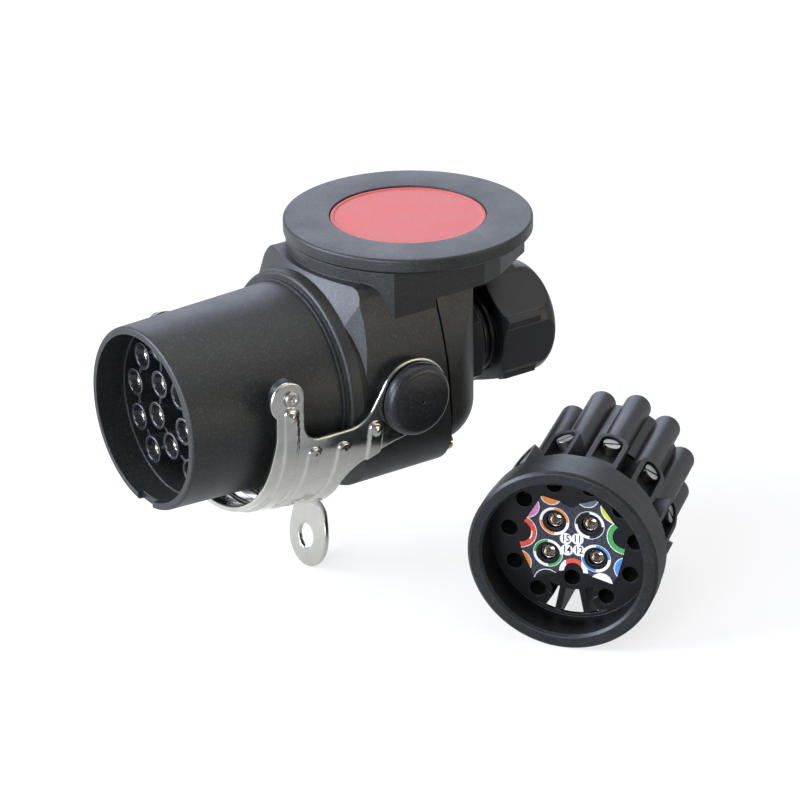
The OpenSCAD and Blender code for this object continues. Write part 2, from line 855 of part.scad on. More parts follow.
// Pin through the lobe, with a low round head and a socket outside
module tip_pin(side) {
    socket_r = 1.3;
    color("#b9b2a8")
    at_tip(side) difference() {
        union() {
            cross_rod(roller_low + 0.2, arm_out + tip_head_h / 2, tip_pin_r);
            translate([0, arm_out + seat, 0]) rotate([-90, 0, 0]) rotate_extrude() polygon(concat(
                [[0, 0], [tip_head_r, 0]],
                arc([tip_head_r - 0.5, tip_head_h - 0.5], 0.5, 0, 90, 4),
                [[0, tip_head_h]]));
        }
        translate([0, arm_out + tip_head_h + past, 0]) rotate([90, 0, 0])
            cylinder(h = past + 0.8, r = socket_r, $fn = 6);
    }
}

module tip_pin_near() {
    tip_pin(1);
}

module tip_pin_far() {
    tip_pin(-1);
}

// One insert lies along X from its cup's rim at zero to its contact mouths at insert_len
module at_places(list) {
    for (p = list) translate([0, p[0], p[1]]) children();
}

// Strip with a round end that points along the tubes
module arch(x_low, x_high, half_w) {
    translate([x_low, -half_w]) square([x_high - half_w - x_low, 2 * half_w]);
    translate([x_high - half_w, 0]) circle(half_w);
}

module on_outer_places() {
    for (a = outer_angles) rotate([a - 90, 0, 0]) children();
}

// Thin web between two places
module web(a, b, x_low, x_high) {
    t = 0.9;
    d = b - a;
    translate([x_low, a[0], a[1]]) rotate([atan2(d[1], d[0]), 0, 0])
        translate([0, 0, -t / 2]) cube([x_high - x_low, norm(d), t]);
}

module carrier() {
    mouth_r = tube_r - 0.4;
    funnel = 3.2;
    web_low = insert_len * 0.6;
    web_high = insert_len - 0.8;
    open_half = 27;
    color("#26272a")
    difference() {
        union() {
            // Ring and cup
            turned([[cup_r, 0.8], [cup_r + 0.8, 0], [ring_r - 0.8, 0], [ring_r, 0.8], [ring_r, lip_len],
                [ring_r - lip_step, lip_len], [ring_r - lip_step, ring_len], [cup_r - 1, ring_len],
                [cup_r - 1, deck_x], [cup_r, deck_x]]);
            // Deck that carries the tubes and closes the cup, open at the bottom where no tube stands
            difference() {
                rod(deck_x, deck_x + deck_t, cup_r - 0.5);
                along(deck_x - past, deck_x + deck_t + past) difference() {
                    polygon([[0, 0], 2 * cup_r * [-sin(open_half), -cos(open_half)],
                        2 * cup_r * [sin(open_half), -cos(open_half)]]);
                    circle(outer_pitch_r - 4);
                }
            }
            at_places(places) rod(deck_x + 0.4, insert_len, tube_r);
            on_outer_places() upright(outer_pitch_r - 1, block_top_r)
                arch(ring_len - 1, ring_len + block_len, block_half_w);
            for (i = [0 : len(outer_places) - 2])
                web(outer_places[i], outer_places[i + 1], web_low, web_high);
            web(outer_places[0], inner_places[4], web_low, web_high);
            web(outer_places[9], inner_places[4], web_low, web_high);
            for (i = [0 : 1]) {
                web(inner_places[i], outer_places[i == 0 ? 4 : 5], web_low, web_high);
                web(inner_places[i], inner_places[i + 2], web_low, web_high);
                web(inner_places[i + 2], inner_places[4], web_low, web_high);
            }
            // Ribs that hold the ring where the bottom place is empty
            for (a = [-11, 11])
                rotate([a, 0, 0]) translate([deck_x + 0.2, -0.9, -block_top_r])
                    cube([insert_len / 3, 1.8, block_top_r - 12]);
        }
        at_places(places) {
            rod(deck_x - past, insert_len + past, contact_r + seat);
            turned([[0, insert_len - funnel], [contact_r, insert_len - funnel],
                [mouth_r, insert_len - 0.4], [mouth_r, insert_len + past], [0, insert_len + past]]);
        }
        on_outer_places() upright(outer_pitch_r + contact_r + 0.8, block_top_r + past)
            arch(window_x, ring_len + block_len - 1.5, window_half_w);
    }
}

module contacts() {
    mouth = insert_len - 3.4;
    color("#c9a24d")
    at_places(places) difference() {
        rod(deck_x + 1, mouth, contact_r);
        rod(mouth - insert_len / 2, mouth + past, contact_bore_d / 2);
    }
}

module screws() {
    head_low = outer_pitch_r + contact_r + 0.85;
    head_h = 2.8;
    slot = 0.8;
    x = ring_len + block_len - 1.5 - window_half_w;
    color("#b7babd")
    on_outer_places() translate([x, 0, head_low]) difference() {
        cylinder(h = head_h, r = terminal_screw_d / 2);
        rotate([0, 0, 35]) translate([-slot / 2, -terminal_screw_d, head_h - slot])
            cube([slot, 2 * terminal_screw_d, slot + past]);
    }
}

// Star-shaped label on the deck: notched at the bottom, at the top and at both sides
module label() {
    notches = [[0, -13.2, 3.4], [-13.6, 2.4, 2.6], [13.6, 2.4, 2.6]];
    color("#2a2a2c")
    along(deck_x - label_t - seat, deck_x - seat) difference() {
        circle(label_r);
        for (n = notches) translate([n[0], n[1]]) circle(n[2]);
        translate([0, label_r + 2]) rotate(45) square(6, center = true);
        for (p = inner_places) translate(p) circle(contact_r + 0.5);
        for (p = outer_places) translate(p) circle(contact_r + 0.6);
    }
}

module in_barrel() {
    translate([insert_x, 0, 0]) children();
}

module beside() {
    translate([-loose_back, loose_side, loose_z]) rotate([0, 0, loose_turn]) rotate([0, -loose_rise, 0])
        children();
}

module contact_carrier() {
    in_barrel() carrier();
}

module contact_sleeves() {
    in_barrel() contacts();
}

module terminal_screws() {
    in_barrel() screws();
}

module carrier_label() {
    in_barrel() label();
}

module carrier_seal() {
    color("#1a1a1b")
    ring(insert_x + ring_len + seat / 2, spigot_x - seat / 2, spigot_r, block_room_r + free);
}

// Split ring behind the insert's rim
module retaining_ring() {
    t = 1.6;
    color("#9a9da0")
    difference() {
        ring(insert_x - seat - t, insert_x - seat, cavity_r - seat, cup_r + 1);
        translate([insert_x - 2 * t, -3, 0]) cube([3 * t, 6, cavity_r + past]);
    }
}

module loose_carrier() {
    beside() carrier();
}

module loose_contacts() {
    beside() contacts();
}

module loose_terminal_screws() {
    beside() screws();
}

module loose_label() {
    beside() label();
}

barrel_sleeve();
collar_ring();
main_housing();
top_disc();
marking_plate();
rear_cover();
rear_gasket();
corner_screws();
gland_body();
gland_locknut();
gland_seal();
gland_claw();
gland_washer();
gland_nut();
pivot_bush_near();
pivot_bush_far();
pivot_cap_near();
pivot_cap_far();
stirrup_lever();
tip_roller_near();
tip_roller_far();
tip_pin_near();
tip_pin_far();
contact_carrier();
contact_sleeves();
terminal_screws();
carrier_seal();
carrier_label();
retaining_ring();
loose_carrier();
loose_contacts();
loose_terminal_screws();
loose_label();
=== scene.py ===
"""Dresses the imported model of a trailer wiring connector: finishes, pressed stirrup, gland, print and studio."""

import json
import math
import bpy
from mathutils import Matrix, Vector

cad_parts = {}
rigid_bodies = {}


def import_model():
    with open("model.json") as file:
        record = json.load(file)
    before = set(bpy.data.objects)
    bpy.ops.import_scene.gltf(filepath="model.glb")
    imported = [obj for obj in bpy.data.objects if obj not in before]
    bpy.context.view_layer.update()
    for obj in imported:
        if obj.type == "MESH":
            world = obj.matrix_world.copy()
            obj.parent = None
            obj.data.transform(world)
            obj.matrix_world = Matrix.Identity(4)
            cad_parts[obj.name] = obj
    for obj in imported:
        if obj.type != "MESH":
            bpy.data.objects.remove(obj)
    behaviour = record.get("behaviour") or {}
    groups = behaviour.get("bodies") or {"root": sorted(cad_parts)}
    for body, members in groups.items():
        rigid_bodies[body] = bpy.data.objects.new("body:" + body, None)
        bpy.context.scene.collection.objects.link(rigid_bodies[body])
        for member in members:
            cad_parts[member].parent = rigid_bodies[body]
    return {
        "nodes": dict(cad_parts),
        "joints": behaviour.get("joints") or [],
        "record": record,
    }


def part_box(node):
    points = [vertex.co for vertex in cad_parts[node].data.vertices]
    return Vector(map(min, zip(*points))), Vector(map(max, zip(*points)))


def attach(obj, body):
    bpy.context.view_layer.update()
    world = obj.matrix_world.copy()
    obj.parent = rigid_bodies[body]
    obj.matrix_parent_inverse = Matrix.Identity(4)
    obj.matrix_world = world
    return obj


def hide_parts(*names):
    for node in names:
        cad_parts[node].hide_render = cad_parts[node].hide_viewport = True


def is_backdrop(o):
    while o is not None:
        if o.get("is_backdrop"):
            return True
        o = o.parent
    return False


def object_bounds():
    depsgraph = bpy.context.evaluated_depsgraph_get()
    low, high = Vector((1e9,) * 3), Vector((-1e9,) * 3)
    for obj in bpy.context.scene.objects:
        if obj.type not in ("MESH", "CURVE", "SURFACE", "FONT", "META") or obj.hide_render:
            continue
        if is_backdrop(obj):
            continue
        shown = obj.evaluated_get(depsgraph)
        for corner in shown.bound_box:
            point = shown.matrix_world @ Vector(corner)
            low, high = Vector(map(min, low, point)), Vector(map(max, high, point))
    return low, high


bl_info = {
    "name": "Trailer wiring connector",
    "version": (1, 0, 0),
    "blender": (4, 5, 0),
    "location": "View3D > Sidebar > Connector",
    "description": "Adds the finishes, the pressed stirrup, the cable gland, the print and the studio",
    "category": "Add Mesh",
}

import bmesh
import bpy
import numpy as np
from mathutils import Euler, Matrix, Vector
from mathutils.geometry import delaunay_2d_cdt

for stray in list(bpy.context.scene.objects):
    bpy.data.objects.remove(stray)
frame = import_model()
CAD_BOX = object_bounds()
MM = 0.001


def linear(code):
    """The linear colour of an sRGB hex value."""
    parts = np.array([int(code[i:i + 2], 16) / 255 for i in (1, 3, 5)])
    parts = np.where(parts <= 0.04045, parts / 12.92, ((parts + 0.055) / 1.055) ** 2.4)
    return (*parts.tolist(), 1.0)


def length(name, description, millimetres):
    """A length that a user may change, given in millimetres and kept in metres."""
    return bpy.props.FloatProperty(name=name, description=description, default=millimetres * MM,
                                   min=0.0, precision=5, subtype="DISTANCE", unit="LENGTH")


def colour(name, description, code):
    """A colour that a user may change, given as an sRGB hex value and kept linear."""
    return bpy.props.FloatVectorProperty(name=name, description=description, default=linear(code)[:3],
                                         size=3, min=0.0, max=1.0, subtype="COLOR")


class ConnectorSizes(bpy.types.PropertyGroup):
    """Sizes of the formed detail."""

    sheet: length("Sheet", "Thickness of the stirrup's sheet", 1.5)
    bead_height: length("Bead height", "How far the pressed beads stand out of the stirrup", 0.7)
    bead_width: length("Bead width", "Width of a pressed bead at its foot", 5.0)
    dome_height: length("Dome height", "Height of the round end of the outer beads", 1.15)
    edge: length("Sheet edge", "Rounding of the stirrup's cut edges", 0.42)
    pitch: length("Thread pitch", "Pitch of the gland's thread", 3.0)
    thread_depth: length("Thread depth", "Depth of the gland's thread", 1.35)
    rib_width: length("Nut rib", "Width of the raised strip beside each corner of the nut", 2.4)
    rib_step: length("Nut step", "How deep the nut's flats lie below the strips", 0.38)
    number_height: length("Number height", "Height of the terminal numbers on the label", 3.3)
    floor: length("Floor below", "How far the floor lies below the barrel's axis", 62.4)


class ConnectorColours(bpy.types.PropertyGroup):
    """Colours of the finishes."""

    shell: colour("Shell", "Moulded polyamide of the housing", "#141714")
    insert: colour("Insert", "Moulded polyamide of the contact insert", "#151817")
    gland: colour("Gland", "Smooth polyamide of the cable gland", "#141516")
    cap: colour("Caps", "Satin polyamide of the pivot caps and rollers", "#161718")
    rubber: colour("Rubber", "Seals and gasket", "#111112")
    plate: colour("Plate", "Red marking plate", "#ae4640")
    steel: colour("Stirrup", "Polished stainless sheet", "#c8c7be")
    zinc: colour("Screws", "Zinc-plated steel", "#b9b8b2")
    brass: colour("Brass", "Brass corner screws", "#c9a878")
    contact: colour("Contacts", "Nickel-plated brass contacts", "#cbc2b4")
    film: colour("Label film", "Ground of the printed label", "#34353a")


def size(name):
    """One of the sizes, in millimetres."""
    return getattr(bpy.context.scene.connector_sizes, name) / MM


def add(tree, kind, sockets=None, **settings):
    """Adds one shader node. A socket gets a value, or a link where it is given another node's output."""
    node = tree.nodes.new("ShaderNode" + kind)
    for name, value in settings.items():
        setattr(node, name, value)
    for key, value in (sockets or {}).items():
        if isinstance(value, bpy.types.NodeSocket):
            tree.links.new(value, node.inputs[key])
        else:
            node.inputs[key].default_value = value
    return node


def noise(tree, place, spot, detail, roughness):
    """Cloudy noise with spots of a size in millimetres."""
    return add(tree, "TexNoise", {"Vector": place, "Scale": 1 / (spot * MM), "Detail": detail,
                                  "Roughness": roughness}).outputs["Fac"]


def ramp(tree, value, start, end, low=0.0, high=1.0):
    """A value carried from start..end to low..high, and held beyond."""
    return add(tree, "MapRange", {"Value": value, "From Min": start, "From Max": end, "To Min": low,
                                  "To Max": high}).outputs["Result"]


def maths(tree, operation, first, second):
    """One operation on two values."""
    return add(tree, "Math", {0: first, 1: second}, operation=operation).outputs[0]


def dot(tree, first, second):
    """Dot product of two vectors."""
    return add(tree, "VectorMath", {0: first, 1: second}, operation="DOT_PRODUCT").outputs["Value"]


def mix(tree, share, first, second):
    """A colour between two."""
    return add(tree, "Mix", {0: share, 6: first, 7: second}, data_type="RGBA").outputs[2]


def surface(name, base, tone, wear_highlight_tint, rough, mottle, grain, edge, metallic=0.0, specular=0.5, base_from=None):
    """A finish with cloudy tone, fine grain, uneven gloss and edges lightened partly as wear and partly as a
    painted edge highlight.

    tone is the second colour's brightness beside the base, rough the lowest and highest roughness, mottle the
    cloud size, grain the grain size and depth, and edge the rounding and share of the pale edge colour, part wear
    and part painted highlight, with lengths in mm.
    base_from changes the base colour.
    """
    material = bpy.data.materials.new(name)
    material.use_nodes = True
    tree = material.node_tree
    place = add(tree, "TexCoord").outputs["Object"]
    cloud, fine = noise(tree, place, mottle, 4.0, 0.62), noise(tree, place, grain[0], 2.0, 0.55)
    second = [min(1.0, part * tone) for part in base]
    ground = mix(tree, ramp(tree, cloud, 0.32, 0.68), (*base, 1.0), (*second, 1.0))
    if base_from:
        ground = base_from(tree, ground)
    # Edges, convex and concave, where the rounded normal bends away are painted paler: partly wear, partly a
    # painted edge highlight
    soft = add(tree, "Bevel", {"Radius": edge[0] * MM}, samples=4).outputs["Normal"]
    corner = dot(tree, soft, add(tree, "NewGeometry").outputs["Normal"])
    wear_and_highlight = maths(tree, "MULTIPLY", ramp(tree, corner, 0.985, 0.8, high=edge[1]), cloud)
    shader = tree.nodes["Principled BSDF"].inputs
    for socket, output in (
            ("Base Color", mix(tree, wear_and_highlight, ground, linear(wear_highlight_tint))),
            ("Roughness", ramp(tree, maths(tree, "ADD", cloud, fine), 0.7, 1.3, *rough)),
            ("Normal", add(tree, "Bump", {"Height": fine, "Distance": grain[1] * MM, "Normal": soft}).outputs[0])):
        tree.links.new(output, shader[socket])
    shader["Metallic"].default_value = metallic
    shader["Specular IOR Level"].default_value = specular
    return material


# Width of a speck of dust; where the painted shade in the loose cup sets in and ends behind its rim, and its radius
SPECK = 0.75
CUP_FADE, CUP_END, CUP_R = (2.0, 8.0), (13.5, 12.5), (24.4, 24.0)


def dusty(tree, ground):
    """Pale grain and dust, drawn larger than life so that they show."""
    lint = noise(tree, add(tree, "TexCoord").outputs["Object"], SPECK, 2.0, 0.6)
    return mix(tree, ramp(tree, lint, 0.5, 0.8, high=0.11), ground, linear("#7d8184"))


def painted_cup_shade(tree, ground):
    """Dust outside, and painted shade in the loose insert's cup: its floor and wall are darkened towards black."""
    place = add(tree, "TexCoord").outputs["Object"]
    axis = LOOSE.to_3x3() @ Vector((1, 0, 0))
    depth, rim = dot(tree, place, axis), LOOSE.translation.dot(axis) * MM
    deep, ended = (ramp(tree, depth, rim + first * MM, rim + last * MM) for first, last in (CUP_FADE, CUP_END))
    line = add(tree, "VectorMath", {0: place, 1: LOOSE.translation * MM}, operation="SUBTRACT").outputs[0]
    side = add(tree, "VectorMath", {0: line, 1: axis}, operation="CROSS_PRODUCT").outputs[0]
    away = add(tree, "VectorMath", {0: side}, operation="LENGTH").outputs["Value"]
    within = ramp(tree, away, *(r * MM for r in CUP_R))
    # Painted shade: black mixed in deep in the cup and within its wall
    share = maths(tree, "MULTIPLY", maths(tree, "MULTIPLY", deep, ended), within)
    return mix(tree, share, dusty(tree, ground), linear("#060607"))


def printed(tree, ground):
    """The label's inks come from the mesh's colour attribute, slightly broken by the film's cloud."""
    return mix(tree, 0.05, add(tree, "Attribute", attribute_name="print").outputs["Color"], ground)


def smeared(tree, ground):
    """Wiped streaks along the sheet, about 0.8 mm wide and 40 mm long."""
    place = add(tree, "TexCoord").outputs["Object"]
    streak = add(tree, "Mapping", {"Vector": place, "Scale": (25.0, 1250.0, 1250.0)})
    wave = add(tree, "TexNoise", {"Vector": streak.outputs["Vector"], "Scale": 1.0, "Detail": 3.0})
    return mix(tree, ramp(tree, wave.outputs["Fac"], 0.45, 0.75, high=0.1), ground, linear("#8e8c85"))


# Each finish as surface() takes it, with the name of its tint in place of the base colour
FINISHES = {
    # Glass-filled polyamide from a spark-eroded mould: matt, grained and dusty
    "pa_black": ("Moulded glass-filled polyamide", "shell", 1.3, "#8d9196", (0.4, 0.54), 14, (0.5, 0.045),
                 (0.3, 0.25), 0.0, 0.5, dusty),
    # The insert's polyamide comes from a polished mould, so it is darker and shinier
    "pa_insert": ("Moulded polyamide insert", "insert", 1.3, "#85898e", (0.32, 0.44), 9, (0.6, 0.01),
                  (0.3, 0.3), 0.0, 0.5, dusty),
    # The loose insert: the same polyamide, with painted shade that darkens the floor and wall of its cup
    "loose_insert": ("Moulded polyamide of the loose insert", "insert", 1.3, "#85898e", (0.32, 0.44), 9,
                     (0.6, 0.01), (0.3, 0.3), 0.0, 0.36, painted_cup_shade),
    # Gland polyamide: smooth semi-gloss with faint flow marks
    "gland_black": ("Smooth moulded gland polyamide", "gland", 1.35, "#7d8083", (0.32, 0.44), 8, (0.7, 0.014),
                    (0.4, 0.5), 0.0, 0.38),
    # Pivot caps and rollers: satin, finely eroded
    "cap_black": ("Satin moulded polyamide", "cap", 1.3, "#7b7e80", (0.29, 0.4), 7, (0.5, 0.02),
                  (0.4, 0.5), 0.0, 0.5, dusty),
    # Nitrile rubber: dull, with a bloom
    "rubber_black": ("Moulded nitrile rubber", "rubber", 1.6, "#4a4b4c", (0.6, 0.8), 5, (0.5, 0.04),
                     (0.3, 0.3), 0.0, 0.3),
    # Red styrene plate: satin, slightly faded
    "plate_red": ("Moulded red styrene", "plate", 1.12, "#e79aa0", (0.44, 0.58), 11, (0.9, 0.02), (0.3, 0.5)),
    # Stainless sheet, pressed and tumbled bright: a wavy mirror with wiped streaks
    "stainless": ("Pressed polished stainless steel", "steel", 0.88, "#f2f1ec", (0.09, 0.2), 9, (2.4, 0.012),
                  (0.25, 0.6), 1.0, 0.5, smeared),
    # Zinc-plated steel screws: greyer, satin
    "zinc_steel": ("Zinc-plated turned steel", "zinc", 0.8, "#e4e3de", (0.24, 0.42), 2.5, (0.6, 0.02),
                   (0.2, 0.5), 1.0),
    # Turned brass, slightly tarnished
    "brass": ("Turned brass", "brass", 0.78, "#efdcb6", (0.2, 0.38), 2.0, (0.6, 0.015), (0.2, 0.5), 1.0),
    # Funnels at the tubes' mouths, moulded against a polished core: they mirror the lamps, and their rounded lips
    # are painted pale as a highlight
    "funnel_gloss": ("Polished moulded polyamide", "insert", 1.2, "#b4bac2", (0.08, 0.16), 4, (0.8, 0.01),
                     (0.5, 1.0)),
    # Nickel over brass: silvery with a warm cast
    "contact_nickel": ("Nickel-plated turned brass", "contact", 0.7, "#f0ece4", (0.14, 0.28), 2.0, (0.6, 0.004),
                       (0.2, 0.6), 1.0),
    # Printed polyester film
    "label_black": ("Printed polyester film", "film", 1.4, "#55585a", (0.22, 0.34), 6, (1.2, 0.008), (0.1, 0.3),
                    0.0, 0.5, printed),
}


def finish(key):
    """The material of a slot of the record, or of a look of its own, made at its first use."""
    name, tint, *rest = FINISHES[key]
    tints = bpy.context.scene.connector_colours
    return bpy.data.materials.get(name) or surface(name, getattr(tints, tint), *rest)


def ring_faces(rows, columns, close=False):
    """Quads between closed rings of points, and from the last ring to the first where asked."""
    r, c = np.meshgrid(np.arange(rows if close else rows - 1), np.arange(columns), indexing="ij")
    r, c = r.ravel(), c.ravel()
    down, right = (r + 1) % rows, (c + 1) % columns
    return np.stack([r * columns + c, r * columns + right, down * columns + right, down * columns + c], 1)


def put(name, data):
    """A new object in the scene."""
    obj = bpy.data.objects.new(name, data)
    bpy.context.scene.collection.objects.link(obj)
    return obj


def piece(name, points, faces, slot, body, replaced=(), crease=35, look=None):
    """Puts points in millimetres and faces into an object that rides on a body and stands for CAD nodes."""
    mesh = bpy.data.meshes.new(name)
    mesh.from_pydata((np.asarray(points).reshape(-1, 3) * MM).tolist(), [], [list(face) for face in faces])
    shape = bmesh.new()
    shape.from_mesh(mesh)
    bmesh.ops.remove_doubles(shape, verts=shape.verts, dist=2e-6)
    bmesh.ops.dissolve_degenerate(shape, edges=shape.edges, dist=1e-7)
    bmesh.ops.recalc_face_normals(shape, faces=shape.faces)
    shape.to_mesh(mesh)
    shape.free()
    mesh.shade_smooth()
    mesh.set_sharp_from_angle(angle=math.radians(crease))
    mesh.materials.append(finish(look or slot))
    obj = put(name, mesh)
    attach(obj, body)
    if replaced:
        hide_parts(*replaced)
    return obj


def smooth(x):
    """Smooth step: 0 up to 0, 1 from 1, and 3x squared minus 2x cubed between them."""
    x = np.clip(x, 0, 1)
    return x * x * (3 - 2 * x)


def least(a, b, blend):
    """The smaller of two surfaces, with their meeting edge rounded over a blend width."""
    h = np.clip(0.5 + 0.5 * (b - a) / blend, 0, 1)
    return b * (1 - h) + a * h - blend * h * (1 - h)


def arc(centre, radius, start, end, step=0.4):
    """Points of an arc about a centre between two angles in degrees, about a step apart."""
    count = max(6, int(abs(math.radians(end - start)) * radius / step) + 1)
    angle = np.radians(np.linspace(start, end, count))
    return np.asarray(centre) + radius * np.stack([np.cos(angle), np.sin(angle)], 1)


def through(points, count=16):
    """A smooth line through points: each stretch is the cubic whose ends lean along the neighbouring points."""
    p = np.asarray(points, dtype=float)
    p = np.concatenate([2 * p[:1] - p[1:2], p, 2 * p[-1:] - p[-2:-1]])
    u = np.linspace(0, 1, count)[None, :, None]
    a, b, c, d = (p[i:len(p) - 3 + i][:, None] for i in range(4))
    line = 0.5 * (2 * b + (c - a) * u + (2 * a - 5 * b + 4 * c - d) * u ** 2 + (3 * b - a - 3 * c + d) * u ** 3)
    return line.reshape(-1, 2)


def spaced(points, step):
    """The same line with its points about a step apart, measured along it."""
    run = np.concatenate([[0], np.cumsum(np.linalg.norm(np.diff(points, axis=0), axis=1))])
    places = np.linspace(0, run[-1], max(3, int(round(run[-1] / step)) + 1))
    return np.stack([np.interp(places, run, points[:, k]) for k in (0, 1)], 1)


def turning(loop, way):
    """The closed line run anticlockwise (way 1) or clockwise (way -1)."""
    x, y = loop.T
    area = np.sum(x * np.roll(y, -1) - np.roll(x, -1) * y)
    return loop if area * way > 0 else loop[::-1]


def inside(points, loop):
    """True for each point from which a level ray crosses the closed line an odd number of times."""
    x, y = points[:, None, 0], points[:, None, 1]
    a, b = loop[None], np.roll(loop, -1, 0)[None]
    spans = (a[..., 1] > y) != (b[..., 1] > y)
    rise = np.where(b[..., 1] == a[..., 1], 1e-12, b[..., 1] - a[..., 1])
    crossing = (b[..., 0] - a[..., 0]) * (y - a[..., 1]) / rise + a[..., 0]
    return np.count_nonzero(spans & (x < crossing), 1) % 2 == 1


def nearest(points, border):
    """Distance from each point to the nearest of a border, worked out in shares to save memory."""
    border = border.astype(np.float32)
    return np.sqrt(np.concatenate([((part[:, None].astype(np.float32) - border[None]) ** 2).sum(2).min(1)
                                   for part in np.array_split(points, 24)]))


def cut_sheet(loops, place, thickness, edge, step, marks=()):
    """Points and faces of a sheet cut to an outline with holes.

    The outline, moved in by the edge's rounding, is filled with triangles of a step. place(u, v, lift) puts
    a flat point on the bent sheet. The fill is placed at the face and a thickness behind it, and each loop
    carries a profile of two quarter rounds from one to the other. marks are lines that the triangles follow
    wherever they stay clear of the border.
    """
    loops = [turning(spaced(np.concatenate([loop, loop[:1]]), step)[:-1], 1 if i == 0 else -1)
             for i, loop in enumerate(loops)]
    inward = []
    for loop in loops:
        along = np.roll(loop, -1, 0) - np.roll(loop, 1, 0)
        along /= np.linalg.norm(along, axis=1)[:, None]
        inward.append(np.stack([-along[:, 1], along[:, 0]], 1))
    cuts = [loop + edge * n for loop, n in zip(loops, inward)]
    low, high = cuts[0].min(0), cuts[0].max(0)
    clear, row = 0.6 * step, 0.87 * step
    u, v = np.meshgrid(np.arange(low[0], high[0], step), np.arange(low[1], high[1], row))
    u[1::2] += step / 2
    grid = np.stack([u.ravel(), v.ravel()], 1)
    border = np.concatenate(cuts)
    edges, lines, start = [], [border], 0
    for loop in cuts:
        index = np.arange(len(loop)) + start
        edges += np.stack([index, np.roll(index, -1)], 1).tolist()
        start += len(loop)
    for line in marks:
        kept = inside(line, cuts[0]) & (nearest(line, border) > clear)
        index = np.cumsum(kept) - 1 + start
        edges += np.stack([index[:-1], index[1:]], 1)[kept[:-1] & kept[1:]].tolist()
        lines.append(line[kept])
        start += kept.sum()
    lines = np.concatenate(lines)

    def within(spots):
        return inside(spots, cuts[0]) & ~np.any([inside(spots, cut) for cut in cuts[1:]], axis=0)

    flat = np.concatenate([lines, grid[within(grid) & (nearest(grid, lines) > clear)]])
    made = delaunay_2d_cdt([Vector(p) for p in flat.tolist()], edges, [], 0, 1e-6)
    verts, tris = np.array([tuple(p) for p in made[0]]), np.array(made[2])
    tris = tris[within(verts[tris].mean(1))]
    points = [place(verts[:, 0], verts[:, 1], 0.0), place(verts[:, 0], verts[:, 1], -thickness)]
    faces = [tris, tris[:, ::-1] + len(verts)]
    count = 2 * len(verts)
    turn = np.radians([0, 22.5, 45, 67.5, 90])
    inset = np.concatenate([edge * (1 - np.sin(turn)), edge * (1 - np.sin(turn[::-1]))])
    lift = np.concatenate([-edge * (1 - np.cos(turn)), -thickness + edge * (1 - np.cos(turn[::-1]))])
    for loop, n in zip(loops, inward):
        rim = loop[None] + inset[:, None, None] * n[None]
        points.append(place(rim[..., 0].ravel(), rim[..., 1].ravel(), np.repeat(lift, len(loop))))
        faces.append(ring_faces(len(inset), len(loop)) + count)
        count += len(inset) * len(loop)
    return np.concatenate(points), [face for block in faces for face in block.tolist()]


# Stirrup, in millimetres from its pivot: the strap's round axis leans by a tilt, a drop below the pivot
TILT, DROP, BOW = math.radians(7.7), 5.8, 34.0
COS, SIN = math.cos(TILT), math.sin(TILT)
QUARTER = BOW * math.pi / 2
FRONT_X, REAR_X = 48.6, 21.3
PIVOT_HOLE_R, PIN_HOLE_R, PIN_PLACE = 7.06, 2.05, (42.4, 10.6)
SHEET_STEP = 0.45
# Pull tab: bend, straight drop, eye, neck, and half the width in which the sheet belongs to the tab
TAB_BEND, TAB_DROP, EYE_R, EYE_HOLE_R = 7.75, 8.0, 9.5, 3.75
TAB_START = (REAR_X - BOW * SIN) / COS
TAB_TURN = math.pi / 2 - TILT
NECK_FROM, NECK_HALF, TAB_HALF = 4.5, 7.4, 12
# Run in which the tab flattens, the depth and run of its dish, and the rise, start and run of its flare
FLATTEN, TAB_DISH, DISH_RUN = 5, 0.6, 14
TAB_FLARE, FLARE_FROM, FLARE_RUN = 1.8, 9, 18
# Beads: place along the stirrup, height of the round end, and share of the full dome there
BEADS = ((42.6, 5.4, 1.0), (34.4, -9.2, 0.45), (24.2, -10.2, 0.45), (13.5, -6.6, 0.9))
# Flat top's share of a bead's half width, and radius of a dome
BEAD_TOP, DOME_R = 0.8, 2.5


def developed(side):
    """Side-view points x, z laid out flat: s runs round the strap and up the arm, t along the strap's axis."""
    x, z = side[:, 0], side[:, 1] + DROP
    t = x * COS + z * SIN
    h = -x * SIN + z * COS
    s = np.where(h < 0, BOW * np.arccos(np.clip(-h / BOW, -1, 1)), QUARTER + h)
    return np.stack([s, t], 1)


def strap_edge(x, start, end):
    """Side-view points of an upright cut through the strap between two angles from its lowest line."""
    angle = np.radians(np.linspace(start, end, 80))
    z = -DROP + x * math.tan(TILT) - BOW * np.cos(angle) / COS
    return np.stack([np.full_like(z, x), z], 1)


